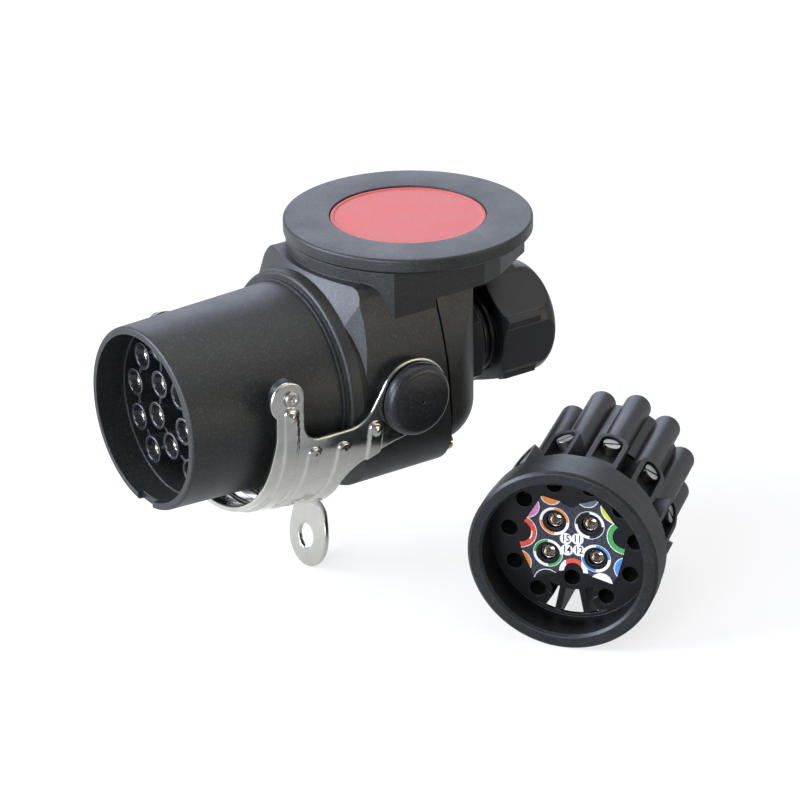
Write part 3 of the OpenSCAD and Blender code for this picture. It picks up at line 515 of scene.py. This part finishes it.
def stirrup_loops():
    """Flat outline and holes: front edge, lobe, throat, ear, web, strap's rear edge, tab, and the same mirrored."""
    side = np.concatenate([
        strap_edge(FRONT_X, 0, 64.9), through([(48.6, -13.8), (48.2, -8), (47.4, -2), (47.2, 4.3)]),
        arc((43.4, 9.8), 5.8, -49, 195), [(37.8, 8.2), (37.8, 1.2)], arc((32.4, 1.1), 5.4, 0, -90),
        [(32.0, -4.3), (22.8, -4.3)], arc((22.4, 5.6), 9.9, -90, -146.7), arc((0, 0), 11.9, 33.3, 278.7),
        through([(2.2, -11.8), (7.2, -13.0), (12.4, -15.0), (17.2, -17.4), (20.1, -20.6), (21.3, -24.5)]),
        strap_edge(REAR_X, 50.8, 15.4)])
    eye = TAB_BEND * TAB_TURN + TAB_DROP
    depth = np.linspace(NECK_FROM, eye, 40)
    neck = NECK_HALF + (EYE_R - NECK_HALF) * smooth((depth - NECK_FROM) / (eye - NECK_FROM)) ** 1.3
    tab = np.concatenate([through([(9.4, 0.0), (8.2, 1.0), (7.6, 2.6), (NECK_HALF, 4.4)]),
                          np.stack([neck, depth], 1), arc((0, eye), EYE_R, 1, 90)])
    half = np.concatenate([developed(side), np.stack([tab[:, 0], TAB_START - tab[:, 1]], 1)])
    mirror = np.array([-1.0, 1.0])
    outline = np.concatenate([half, half[-2:0:-1] * mirror])
    pivot, pin = developed(arc((0, 0), PIVOT_HOLE_R, 0, 357)), developed(arc(PIN_PLACE, PIN_HOLE_R, 0, 350))
    hole = arc((0, TAB_START - eye), EYE_HOLE_R, 0, 355)
    return [outline, pivot, pin, pivot * mirror, pin * mirror, hole]


def bead_start(x, z):
    """How far round the strap and up the arm a bead's round end lies."""
    return developed(np.array([[x, z]]))[0, 0]


def lean(u):
    """Angle round the strap of a flat place u, its height up the arm, and how far both set x forward of v."""
    turn = np.clip(np.abs(u) / BOW, 0, math.pi / 2) * np.sign(u)
    straight = np.maximum(np.abs(u) - QUARTER, 0)
    return turn, straight, (BOW * np.cos(turn) - straight) * SIN


def bead_lines():
    """Flat lines round each bead, with round ends: its flat top's edge, the middle of its wall, and its foot."""
    half = size("bead_width") / 2
    around, count = np.linspace(0, math.pi, 20), 299
    lines = []
    for bead_x, bead_z, _ in BEADS:
        start = bead_start(bead_x, bead_z)
        for reach in half * np.linspace(BEAD_TOP, 1, 3):
            u = np.concatenate([np.linspace(-start, start, count + 1)[:-1], start + reach * np.sin(around)])
            x = np.concatenate([np.full(count, reach), reach * np.cos(around)])
            u, x = np.concatenate([u, -u]), bead_x + np.concatenate([x, -x])
            lines.append(np.stack([u, (x - lean(u)[2]) / COS], 1))
    return lines


def stirrup_place(u, v, lift):
    """Bends the flat sheet.

    Up to the tab's start a point goes round the strap's half circle and then straight up the arm. Past it the
    sheet flattens, turns down round the bend, is dished, and flares at its end. Beads lift the sheet along
    its normal: a flat-topped strip about each bead's line, below the bead's start, and a dome at that start.
    """
    turn, straight, forward = lean(u)
    x = v * COS + forward
    press = np.zeros_like(u)
    half = size("bead_width") / 2
    for bead_x, bead_z, share in BEADS:
        past = np.abs(u) - bead_start(bead_x, bead_z)
        off = np.hypot(x - bead_x, np.maximum(past, 0))
        strip = size("bead_height") * (1 - smooth((off / half - BEAD_TOP) / (1 - BEAD_TOP)))
        dome = share * size("dome_height") * (1 - smooth(np.hypot(x - bead_x, past + 0.3) / DOME_R))
        press = np.maximum(press, np.maximum(strip, dome + 0.5 * strip))
    on_tab = (v < TAB_START) & (np.abs(u) < TAB_HALF)
    lift = lift + press * ~on_tab
    y = (BOW + lift) * np.sin(turn)
    h = -(BOW + lift) * np.cos(turn) + straight
    strap = np.stack([v * COS - h * SIN, y, -DROP + v * SIN + h * COS], 1)
    past = np.maximum(TAB_START - v, 0)
    flat = smooth(past / FLATTEN)
    rise = ((1 - flat) * BOW * (1 - np.cos(u / BOW))
            - flat * TAB_DISH * (1 - (u / EYE_R) ** 2) * smooth(past / DISH_RUN)
            - TAB_FLARE * smooth((past - FLARE_FROM) / FLARE_RUN))
    bend = np.minimum(past / TAB_BEND, TAB_TURN)
    rest = past - TAB_BEND * bend
    up, ahead = np.array([-SIN, COS]), np.array([COS, SIN])
    foot = np.array([REAR_X, -DROP + TAB_START * SIN - BOW * COS]) - TAB_BEND * up
    out = up * np.cos(bend)[:, None] - ahead * np.sin(bend)[:, None]
    on = -up * np.sin(bend)[:, None] - ahead * np.cos(bend)[:, None]
    xz = foot + out * (TAB_BEND + rise - lift)[:, None] + on * rest[:, None]
    tab = np.stack([xz[:, 0], (1 - flat) * (BOW + lift * (1 - flat)) * np.sin(u / BOW) + flat * u, xz[:, 1]], 1)
    pivot = np.array(next(j for j in frame["joints"] if j["name"] == "stirrup_swing")["pos_m"]) / MM
    return np.where(on_tab[:, None], tab, strap) + pivot


class CONNECTOR_OT_finishes(bpy.types.Operator):
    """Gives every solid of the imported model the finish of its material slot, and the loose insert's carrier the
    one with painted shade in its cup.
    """

    bl_idname = "connector.finishes"
    bl_label = "Finishes"

    def execute(self, context):
        for entry in frame["record"]["subparts"]:
            mesh = frame["nodes"][entry["node"]].data
            mesh.materials.clear()
            # The loose carrier takes the finish with painted shade in its cup
            loose = entry["node"] == "loose_carrier"
            mesh.materials.append(finish("loose_insert" if loose else entry["material_slot"]))
        return {"FINISHED"}


class CONNECTOR_OT_stirrup(bpy.types.Operator):
    """Builds the pressed stirrup lever as one bent sheet with beads, domes and a pull tab."""

    bl_idname = "connector.stirrup"
    bl_label = "Stirrup"

    def execute(self, context):
        points, faces = cut_sheet(stirrup_loops(), stirrup_place, size("sheet"), size("edge"), SHEET_STEP,
                                  bead_lines())
        piece("pressed_stirrup", points, faces, "stainless", "stirrup", ["stirrup_lever"], 62)
        return {"FINISHED"}


def box_mm(node):
    """Lowest and highest corners of a CAD node, in millimetres."""
    return [np.array(corner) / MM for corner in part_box(node)]


def full_turn(count):
    """Angles of a full turn in equal steps."""
    return np.linspace(0, 2 * math.pi, count + 1)[:-1]


class CONNECTOR_OT_pins(bpy.types.Operator):
    """Builds the round-headed pins of the tip rollers as turned profiles with a coned socket."""

    bl_idname = "connector.pins"
    bl_label = "Tip pins"

    def execute(self, context):
        sides, shaft, face = 48, 2.0, BOW
        angle = full_turn(sides)
        head = np.concatenate([[(face - 0.1, shaft), (face, 2.35)], arc((face + 0.5, 1.75), 0.6, 90, 0, 0.1),
                               [(face + 1.08, 1.25), (face + 0.95, 1.12), (face + 0.55, 0.8), (face + 0.35, 0)]])
        for side, name in ((1, "near"), (-1, "far")):
            low, high = box_mm("tip_pin_" + name)
            axis = (low + high) / 2
            inner = np.abs([low[1], high[1]]).min()
            line = np.concatenate([[(inner, 0), (inner, shaft - 0.3), (inner + 0.3, shaft)], head])
            along, r = line[:, :1], line[:, 1:]
            points = np.stack([axis[0] + r * np.cos(angle), np.repeat(side * along, sides, 1),
                               axis[2] + r * np.sin(angle)], -1)
            piece("pin_" + name, points, ring_faces(len(line), sides), "zinc_steel", "stirrup",
                  ["tip_pin_" + name], 40)
        return {"FINISHED"}


GLAND_Z = -1.0


def about_x(x, radius, angle):
    """Points at a radius and an angle round the gland's axis; the angle runs from +Y towards +Z."""
    x, radius, angle = np.broadcast_arrays(x, radius, angle)
    return np.stack([x, radius * np.cos(angle), GLAND_Z + radius * np.sin(angle)], -1)


def hexagon(angle, flat, corner):
    """Radius of a hexagon with half width flat and a corner at an angle, and the distance to the next corner."""
    side = np.mod(angle - corner, math.pi / 3) - math.pi / 6
    return flat / np.cos(side), flat * (math.tan(math.pi / 6) - np.abs(np.tan(side)))


def dome_nut():
    """Rings of the dome nut: the smaller of a hexagon and a turned limit, then the turned mouth and bore.

    The hexagon's flats lie a step below the strips beside its corners. The limit is a chamfer in front, a
    steep step behind the strips, and a dome of radius R - (R - m)(1 - cos(t) ** p) at 1 - sin(t) ** p.
    """
    rear, front = (corner[0] for corner in box_mm("gland_nut"))
    flat, corner_r, mouth, corner = 16.8, 19.4, 9.2, math.radians(21)
    dome_len, dome_r, full = 0.37 * (front - rear), flat + 1.3, 0.85
    step, wide = size("rib_step"), size("rib_width")
    # Half a flat from its corner: dense at the corner and at the strip's edge
    reach = flat * math.tan(math.pi / 6)
    part = np.concatenate([np.linspace(0, 0.5, 5), np.linspace(0.8, wide - 0.35, 5),
                           np.linspace(wide - 0.25, wide + 0.25, 7), np.linspace(wide + 0.6, reach, 14)])
    side = np.arctan((reach - part) / flat)
    side = np.concatenate([-side, side[-2::-1]])[:-1]
    angle = (corner + math.pi / 6 + side[None] + np.arange(6)[:, None] * math.pi / 3).ravel()
    # From the chamfered front over the dome, through the mouth and back along the bore
    dome_x = rear + dome_len
    body_x = np.concatenate([front - np.linspace(0, 1.8, 8), np.linspace(front - 2.2, dome_x + 1.2, 20),
                             dome_x + np.linspace(1.0, 0.05, 8)])
    turn = np.radians(np.linspace(0, 90, 34))
    outer_x = np.concatenate([body_x, rear + dome_len * (1 - np.sin(turn) ** full)])
    body_limit = np.interp(body_x[::-1], [dome_x, dome_x + 0.9, front - 1.8, front],
                           [dome_r, corner_r + 0.6, corner_r + 0.6, flat - 0.4])[::-1]
    limit = np.concatenate([body_limit, dome_r - (dome_r - mouth - 3.0) * (1 - np.cos(turn) ** full)])
    across, to_corner = hexagon(angle, flat, corner)
    sunk = (flat - step) / flat * across
    strip = smooth((to_corner - wide + 0.25) / 0.5)
    outer = least((across * (1 - strip) + sunk * strip)[None], limit[:, None], 0.35)
    room = box_mm("gland_washer")[0][0] - 0.3
    inner = np.concatenate([[(rear, 11.8), (rear, 10.6)], arc((rear + 0.8, mouth + 0.8), 0.8, 180, 270, 0.12),
                            [(room, mouth), (room, 13.5), (front, 13.5), (front, 15.2)]])
    x = np.concatenate([outer_x, inner[:, 0]])[:, None]
    return about_x(x, np.concatenate([outer, np.repeat(inner[:, 1:], len(angle), 1)]), angle[None])


def threaded_body():
    """Rings of the gland's body: a hexagon base under a turned limit, then the thread, then the bore.

    The thread's ridge is a smooth bump of the fraction of x / pitch - angle / 2 pi, and fades at both ends.
    """
    low, high = box_mm("gland_body")
    face = box_mm("rear_cover")[0][0]
    base, pitch, depth = face - 8.6, size("pitch"), size("thread_depth")
    flat, crest, bore, spigot = 15.0, 13.44, 11.4, 12.4
    angle = full_turn(144)
    across, _ = hexagon(angle, flat, math.radians(30))
    base_x = np.concatenate([[face, face - 0.3], np.linspace(face - 0.8, base + 1.8, 8),
                             base + np.linspace(1.6, 0, 7)])
    base_limit = np.interp(base_x[::-1], [base, base + 1.6, face - 0.4, face], [14.6, 17.6, 18.0, 17.5])[::-1]
    hexed = least(across[None], base_limit[:, None], 0.5)
    thread_x = np.linspace(base - 0.05, low[0], 110)
    wave = np.mod(thread_x[:, None] / pitch - angle[None] / (2 * math.pi), 1)
    ridge = smooth((0.36 - np.abs(wave - 0.5)) / 0.2)
    fade = smooth((base - 0.5 - thread_x) / 0.8)[:, None] * smooth((thread_x - low[0]) / 0.9)[:, None]
    thread = crest - depth + depth * ridge * fade
    x = np.concatenate([[high[0], high[0], face], base_x, thread_x, [low[0], high[0]]])
    ring = np.ones((1, len(angle)))
    radius = np.concatenate([bore * ring, spigot * ring, spigot * ring, hexed, thread, bore * ring, bore * ring])
    return about_x(x[:, None], radius, angle[None])


class CONNECTOR_OT_gland(bpy.types.Operator):
    """Builds the gland's dome nut and its threaded body as hexagons cut by turned profiles."""

    bl_idname = "connector.gland"
    bl_label = "Cable gland"

    def execute(self, context):
        for name, points, body, node, crease in (
                ("dome_nut", dome_nut(), "gland_nut", "gland_nut", 28),
                ("threaded_body", threaded_body(), "shell", "gland_body", 32)):
            piece(name, points, ring_faces(*points.shape[:2], True), "gland_black", body, [node], crease)
        return {"FINISHED"}


def turned(outline, centre, count=192):
    """Points of an outline of radii and heights r, z turned about an upright axis: x + r cos t, y + r sin t, z."""
    angle = full_turn(count)
    return np.stack([centre[0] + outline[:, :1] * np.cos(angle), centre[1] + outline[:, :1] * np.sin(angle),
                     np.repeat(outline[:, 1:], count, 1)], -1)


class CONNECTOR_OT_plate(bpy.types.Operator):
    """Builds the top disc and its red marking plate, which has a low rim and a slightly crowned field."""

    bl_idname = "connector.plate"
    bl_label = "Disc and marking plate"

    def execute(self, context):
        low, high = box_mm("marking_plate")
        radius, top = (high[0] - low[0]) / 2, high[2]
        field = radius - 1.5
        across = np.linspace(field, 0, 24)
        crown = top - 0.22 + 0.12 * (1 - (across / field) ** 2)
        plate = np.concatenate([[(0, low[2]), (radius, low[2])], arc((radius - 0.35, top - 0.35), 0.35, 0, 90, 0.1),
                                arc((field + 0.45, top - 0.2), 0.2, 90, 180, 0.08), np.stack([across, crown], 1)])
        under, over = box_mm("top_disc")
        outer, seat = (over[0] - under[0]) / 2, radius + 0.1
        foot, edge, lip = under[2], 0.8, 0.25
        disc = np.concatenate([[(0, foot), (outer - edge, foot), (outer, foot + edge)],
                               arc((outer - edge, over[2] - edge), edge, 0, 90, 0.12),
                               arc((seat + lip, over[2] - lip), lip, 90, 180, 0.1), [(seat, low[2]), (0, low[2])]])
        for name, outline, centre, slot, node in (
                ("red_plate", plate, (low + high) / 2, "plate_red", "marking_plate"),
                ("cover_disc", disc, (under + over) / 2, "pa_black", "top_disc")):
            points = turned(outline, centre)
            piece(name, points, ring_faces(*points.shape[:2]), slot, "shell", [node])
        return {"FINISHED"}


# The loose insert's place: its own X runs from the cup's rim to the contact mouths
LOOSE = (Matrix.Translation((-82.9, 89.5, -34.4023)) @ Matrix.Rotation(math.radians(217.8), 4, "Z")
         @ Matrix.Rotation(math.radians(-1.2), 4, "Y"))
# Ten places on a circle whose lowest eleventh is free, and five within it, the lowest last
OUTER = np.radians(-90 + 360 / 11 * np.arange(1, 11))
INNER = np.array([(5.2, 6.5), (-5.2, 6.5), (7.1, -3.9), (-7.1, -3.9), (0.0, -11.0)])
PLACES = np.concatenate([18.8 * np.stack([np.cos(OUTER), np.sin(OUTER)], 1), INNER])


def set_in(points, matrix):
    """Points moved by a 4 x 4 matrix."""
    m = np.array(matrix)
    return points @ m[:3, :3].T + m[:3, 3]


def at_places(line, sides=40):
    """A profile of axial place and radius, turned about its axis and repeated at all fifteen places."""
    angle, count = full_turn(sides), len(PLACES)
    along_x, r = np.repeat(line[:, :1], sides, 1), line[:, 1:]
    ring = np.stack([along_x, r * np.cos(angle), r * np.sin(angle)], -1)
    shift = np.concatenate([np.zeros((count, 1)), PLACES], 1)
    one = ring_faces(len(line), sides)
    faces = one[None] + (np.arange(count) * len(line) * sides)[:, None, None]
    return (ring[None] + shift[:, None, None]).reshape(-1, 3), faces.reshape(-1, 4)


class CONNECTOR_OT_contacts(bpy.types.Operator):
    """Builds the contact sleeves of both inserts, bored from both ends, and the funnels at their tubes' mouths."""

    bl_idname = "connector.contacts"
    bl_label = "Contacts"

    def execute(self, context):
        rear, mouth, out, bore, wire = 12.8, 65.9, 2.3, 1.75, 1.75
        line = np.array([(rear + 5, 0), (rear + 4.6, wire), (rear + 0.3, wire), (rear, wire + 0.25),
                         (rear, out - 0.2), (rear + 0.2, out), (mouth - 0.3, out), (mouth, out - 0.25),
                         (mouth, bore + 0.3), (mouth - 0.4, bore), (mouth - 20, bore), (mouth - 20.5, 0)])
        points, faces = at_places(line)
        # The ten outer wire ends and the lowest sit deep in the dark: only the four ringed ones shine in the cup
        half_way, sunk = 30, 14.0
        place = np.arange(len(points)) * len(PLACES) // len(points)
        dark = (place < len(OUTER)) | (place == len(PLACES) - 1)
        points[:, 0] += np.where(dark & (points[:, 0] < half_way), sunk, 0.0)
        end = 68.0
        cone = np.array([(end - 2.9, 2.38), (end - 2.1, 2.36), (end - 1.9, 2.2), (end - 0.2, 3.12),
                         (end + 0.02, 3.26), (end + 0.12, 3.45), (end + 0.14, 3.75), (end + 0.06, 4.0),
                         (end - 0.3, 4.11), (end - 0.6, 4.05), (end - 0.6, 3.5), (end - 2.9, 2.38)])
        rims, rim_faces = at_places(cone)
        start = Matrix.Translation((box_mm("contact_carrier")[0][0], 0, 0))
        for name, matrix, body, node in (
                ("plug", start, "shell", "contact_sleeves"), ("insert", LOOSE, "loose_insert", "loose_contacts")):
            piece(name + "_contacts", set_in(points, matrix), faces, "brass", body, [node], look="contact_nickel")
            piece(name + "_funnels", set_in(rims, matrix), rim_faces, "pa_insert", body, look="funnel_gloss")
        return {"FINISHED"}


INKS = {"film": "#34353a", "white": "#f2f2f0", "orange": "#e8873a", "pink": "#dc7fb2", "red": "#e2503a",
        "green": "#48994e", "blue": "#4884c2", "yellow": "#cfcf46", "grey": "#63666b", "black": "#101113"}
# Half discs at the label's edge: centre, radius and ink
FIELDS = (((6.2, 14.7), 3.15, "orange"), ((-4.5, 15.5), 3.5, "grey"), ((13.5, 10.6), 3.95, "pink"),
          ((-13.2, 12.6), 4.8, "yellow"), ((15.9, -7.8), 3.95, "orange"), ((-16.3, -6.3), 3.9, "blue"),
          ((7.3, -13.2), 4.1, "black"), ((-8.8, -11.6), 3.2, "white"))
# Notches at the label's sides and the arch at its foot: centre and radius
NOTCHES = ((15.6, 2.1, 3.5), (-15.6, 3.8, 3.6))
ARCH = (-0.5, -9.0, 2.85)
NUMBERS = (("15", (1.8, 1.35)), ("11", (-1.65, 1.6)), ("14", (1.5, -2.2)), ("12", (-2.05, -1.95)))
# The ringed holes' places, radii and white outline, and the radius of the numbers' dots
RINGED, RING, RING_LINE, DOT_R = INNER[:4], (3.6, 4.4), 0.16, 1.78
LABEL_FACE, LABEL_FILM, LABEL_EDGE, LABEL_STEP = 11.5, 0.24, 0.05, 0.16


def ink_at(y, z):
    """Index of the ink at a point of the label: half discs at the edge, arcs round the notches, ringed holes."""
    index = {name: i for i, name in enumerate(INKS)}
    white = index["white"]
    ink = np.zeros(len(y), dtype=int)
    for (a, b), radius, name in FIELDS:
        off = np.hypot(y - a, z - b)
        ink[off < radius] = white
        ink[off < radius - 0.22] = index[name]
    for (a, b, radius), name in zip(NOTCHES, ("red", "green")):
        off = np.hypot(y - a, z - b)
        ink[off < radius + 1.75] = white
        ink[off < radius + 1.55] = index[name]
    a, b, radius = NOTCHES[0]
    ink[(np.hypot(y - a, z - b) < radius + 0.45) & (np.abs(z - 1.3) < 1.3)] = white
    a, b, radius = ARCH
    band = np.hypot(y - a, z - b) < radius + 1.4
    ink[band & (z > b - 0.4)] = white
    ink[band & (np.abs(y - a) < 2.3)] = index["red"]
    for (a, b), name, turn in zip(RINGED, ("orange", "black", "green", "blue"), (1, 0, 0, 1)):
        off, way = np.hypot(y - a, z - b), np.arctan2(z - b, y - a)
        ink[off < RING[1]] = white
        ink[(off < RING[1] - RING_LINE) & (np.mod(way + turn * math.pi / 2, math.pi) < math.pi / 2)] = index[name]
    for _, (a, b) in NUMBERS:
        ink[np.hypot(y - a, z - b) < DOT_R] = white
    return ink


def ink_corners(mesh, shades):
    """Stores a colour for each corner of each face, where the label's finish looks for it."""
    mesh.color_attributes.new("print", "FLOAT_COLOR", "CORNER").data.foreach_set("color", np.ravel(shades))


def values(items, name, width=1, kind=float):
    """One value, or a row of them, of every item of a mesh."""
    store = np.empty(len(items) * width, dtype=kind)
    items.foreach_get(name, store)
    return store if width == 1 else store.reshape(-1, width)


def number_faces(height):
    """Points and faces of the terminal numbers: extruded text, bold and narrow."""
    bold, thick, proud, narrow = 0.035, 0.01, 0.03, 0.78
    points, faces = [], []
    for text, centre in NUMBERS:
        curve = bpy.data.curves.new("number", "FONT")
        curve.body, curve.size, curve.offset, curve.extrude = text, height, bold, thick
        curve.align_x, curve.align_y = "CENTER", "CENTER"
        word = bpy.data.objects.new("number", curve)
        flat = word.to_mesh()
        corners = values(flat.loops, "vertex_index", kind=int) + sum(map(len, points))
        faces += np.split(corners, np.cumsum(values(flat.polygons, "loop_total", kind=int))[:-1])
        x, y, z = values(flat.vertices, "co", 3).T
        points.append(np.stack([LABEL_FACE - proud - z, centre[0] - narrow * x, centre[1] + y], 1))
        word.to_mesh_clear()
        bpy.data.objects.remove(word)
        bpy.data.curves.remove(curve)
    return np.concatenate(points), faces


class CONNECTOR_OT_label(bpy.types.Operator):
    """Builds the loose insert's printed film with its colour fields and plain terminal numbers."""

    bl_idname = "connector.label"
    bl_label = "Label"

    def execute(self, context):
        left, right = NOTCHES
        outline = np.concatenate([
            [(9.2, 13.9), (8.7, 14.1), (3.5, 13.0), (0.4, 11.4), (-0.4, 11.5), (-2.2, 12.9), (-7.3, 14.7),
             (-8.5, 13.4), (-12.5, 7.8), (-13.6, 6.8)], arc(right[:2], right[2], 55, -90),
            [(-15.1, -2.6), (-13.5, -8.7), (-12.0, -11.5), (-6.1, -9.9), (-4.7, -9.1)],
            arc(ARCH[:2], ARCH[2], 180, 0),
            [(3.7, -9.2), (5.0, -10.2), (11.4, -12.4), (12.3, -9.5), (14.9, -4.0), (15.5, -1.6)],
            arc(left[:2], left[2], 268, 112), [(13.3, 6.7), (10.0, 12.3)]])
        holes = [arc(centre, RING[0] - LABEL_EDGE, 0, 355) for centre in RINGED]
        marks = [arc(centre, r, 0, 360, 0.25) for centre in RINGED for r in (RING[1] - RING_LINE, RING[1])]

        def place(u, v, lift):
            return set_in(np.stack([LABEL_FACE - lift + np.zeros_like(u), u, v], 1), LOOSE)

        points, faces = cut_sheet([outline] + holes, place, LABEL_FILM, LABEL_EDGE, LABEL_STEP, marks)
        film = piece("printed_label", points, faces, "label_black", "loose_insert", ["loose_label"]).data
        _, y, z = set_in(values(film.polygons, "center", 3) / MM, LOOSE.inverted()).T
        shades = np.array([linear(code) for code in INKS.values()])[ink_at(y, z)]
        ink_corners(film, np.repeat(shades, values(film.polygons, "loop_total", kind=int), axis=0))

        points, faces = number_faces(size("number_height"))
        numbers = piece("label_numbers", set_in(points, LOOSE), faces, "label_black", "loose_insert").data
        ink_corners(numbers, np.tile(linear(INKS["black"]), len(numbers.loops)))
        return {"FINISHED"}


# The photograph's camera: place in metres, turns in degrees, lens and sensor in millimetres
VIEW_PLACE, VIEW_TURNS = (0.541673, 0.902994, 0.470054), (66.1144, 0.6941, 144.7061)
VIEW_LENS, VIEW_SENSOR = 180.949, 36.0
# Half the floor's side in metres, and its glow
FLOOR_HALF, FLOOR_GLOW = 6.0, 0.72
# Lamps: name, place and size in metres, watts and tint. They all face the aim
LAMP_AIM = Vector((-0.06, 0.02, 0.0))
LAMPS = (("top_lamp", (-0.38, 0.26, 1.05), (1.2, 1.2), 4.6, "#fff8ea"),
         ("left_lamp", (0.93, -0.44, 0.5), (0.9, 0.65), 33.0, "#e2eaff"),
         ("front_lamp", (0.946, 0.625, 0.25), (0.5, 0.75), 15.0, "#e6edff"),
         ("back_lamp", (-0.7, -0.89, 0.45), (0.8, 0.6), 3.9, "#dde6ff"),
         ("right_lamp", (-0.75, 0.95, 0.1), (0.7, 0.4), 2.8, "#fff0d6"))


def bare_tree(owner):
    """The emptied node tree of a material or a world."""
    owner.use_nodes = True
    owner.node_tree.nodes.clear()
    return owner.node_tree


def set_camera(scene):
    """Adds the photograph's camera."""
    camera = put("view", bpy.data.cameras.new("view"))
    camera.location = VIEW_PLACE
    camera.rotation_euler = Euler([math.radians(turn) for turn in VIEW_TURNS])
    camera.data.lens, camera.data.sensor_width = VIEW_LENS, VIEW_SENSOR
    scene.camera = camera


def lay_floor():
    """Adds the paper floor, which glows so that it is white in the picture."""
    half, z = FLOOR_HALF, -bpy.context.scene.connector_sizes.floor
    mesh = bpy.data.meshes.new("floor")
    mesh.from_pydata([(-half, -half, z), (half, -half, z), (half, half, z), (-half, half, z)], [], [range(4)])
    paper = bpy.data.materials.new("Pale studio paper")
    tree = bare_tree(paper)
    path = add(tree, "LightPath").outputs
    # In reflections the paper falls off from behind the object towards the dark front of the room
    ahead = dot(tree, add(tree, "TexCoord").outputs["Object"], (-0.1, 0.99, 0.0))
    mirrored = maths(tree, "MAXIMUM", path["Is Glossy Ray"], path["Is Transmission Ray"])
    mirrored = maths(tree, "MULTIPLY", mirrored, ramp(tree, ahead, -0.02, 0.1, FLOOR_GLOW, 0.12))
    lit = add(tree, "Mix", {0: path["Is Camera Ray"], 2: mirrored, 3: FLOOR_GLOW})
    glow = add(tree, "Emission", {"Color": (1, 1, 1, 1), "Strength": lit.outputs[0]})
    matt = add(tree, "BsdfDiffuse", {"Color": linear("#8c8c8c")})
    both = add(tree, "AddShader", {0: glow.outputs[0], 1: matt.outputs[0]})
    add(tree, "OutputMaterial", {"Surface": both.outputs[0]})
    mesh.materials.append(paper)
    put("floor", mesh)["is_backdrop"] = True


def paint_world(scene):
    """Makes the room: white behind the object, and darker on the side that the lamps stand on."""
    scene.world = bpy.data.worlds.new("white_studio")
    tree = bare_tree(scene.world)
    path = add(tree, "LightPath").outputs
    towards = dot(tree, add(tree, "TexCoord").outputs["Generated"], (0.57, 0.82, 0.0))
    strength = add(tree, "Mix", {0: path["Is Camera Ray"], 2: ramp(tree, towards, -0.3, 0.5, 0.8, 0.25), 3: 1.0})
    tint = mix(tree, path["Is Camera Ray"], linear("#f0f4ff"), (1, 1, 1, 1))
    sky = add(tree, "Background", {"Color": tint, "Strength": strength.outputs[0]})
    add(tree, "OutputWorld", {"Surface": sky.outputs[0]})


def hang_lamps():
    """Adds the soft lamps, which the camera doesn't see."""
    for name, spot, extent, power, tint in LAMPS:
        light = bpy.data.lights.new(name, "AREA")
        light.color = linear(tint)[:3]
        light.shape, light.size, light.size_y, light.energy = "RECTANGLE", *extent, power
        lamp = put(name, light)
        lamp.location = spot
        lamp.rotation_euler = (LAMP_AIM - Vector(spot)).to_track_quat("-Z", "Y").to_euler()
        lamp.visible_camera = False


class CONNECTOR_OT_stage(bpy.types.Operator):
    """Sets up the camera, the floor, the white room and the soft lamps."""

    bl_idname = "connector.stage"
    bl_label = "Stage"

    def execute(self, context):
        context.scene.view_settings.view_transform = "Standard"
        set_camera(context.scene)
        lay_floor()
        paint_world(context.scene)
        hang_lamps()
        return {"FINISHED"}


OPERATORS = (CONNECTOR_OT_finishes, CONNECTOR_OT_stirrup, CONNECTOR_OT_pins, CONNECTOR_OT_gland, CONNECTOR_OT_plate,
             CONNECTOR_OT_contacts, CONNECTOR_OT_label, CONNECTOR_OT_stage)


class CONNECTOR_PT_parts(bpy.types.Panel):
    """Lists the connector's pieces, sizes and colours."""

    bl_idname = "CONNECTOR_PT_parts"
    bl_label = "Trailer wiring connector"
    bl_space_type = "VIEW_3D"
    bl_region_type = "UI"
    bl_category = "Connector"

    def draw(self, context):
        column = self.layout.column()
        for operator in OPERATORS:
            column.operator(operator.bl_idname)
        for group in (context.scene.connector_sizes, context.scene.connector_colours):
            for name in group.__annotations__:
                column.prop(group, name)


CLASSES = (ConnectorSizes, ConnectorColours) + OPERATORS + (CONNECTOR_PT_parts,)


def register():
    """Registers the classes and hangs both groups of values on the scene."""
    for cls in CLASSES:
        bpy.utils.register_class(cls)
    bpy.types.Scene.connector_sizes = bpy.props.PointerProperty(type=ConnectorSizes)
    bpy.types.Scene.connector_colours = bpy.props.PointerProperty(type=ConnectorColours)


def unregister():
    """Takes both groups of values and the classes away again."""
    del bpy.types.Scene.connector_colours
    del bpy.types.Scene.connector_sizes
    for cls in reversed(CLASSES):
        bpy.utils.unregister_class(cls)


def main():
    """Registers the add-on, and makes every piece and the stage."""
    register()
    for operator in OPERATORS:
        group, name = operator.bl_idname.split(".")
        getattr(getattr(bpy.ops, group), name)()
    boxes = {"cad": CAD_BOX, "visual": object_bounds()}
    {key: [list(corner) for corner in box] for key, box in boxes.items()}


if __name__ == "__main__":
    main()
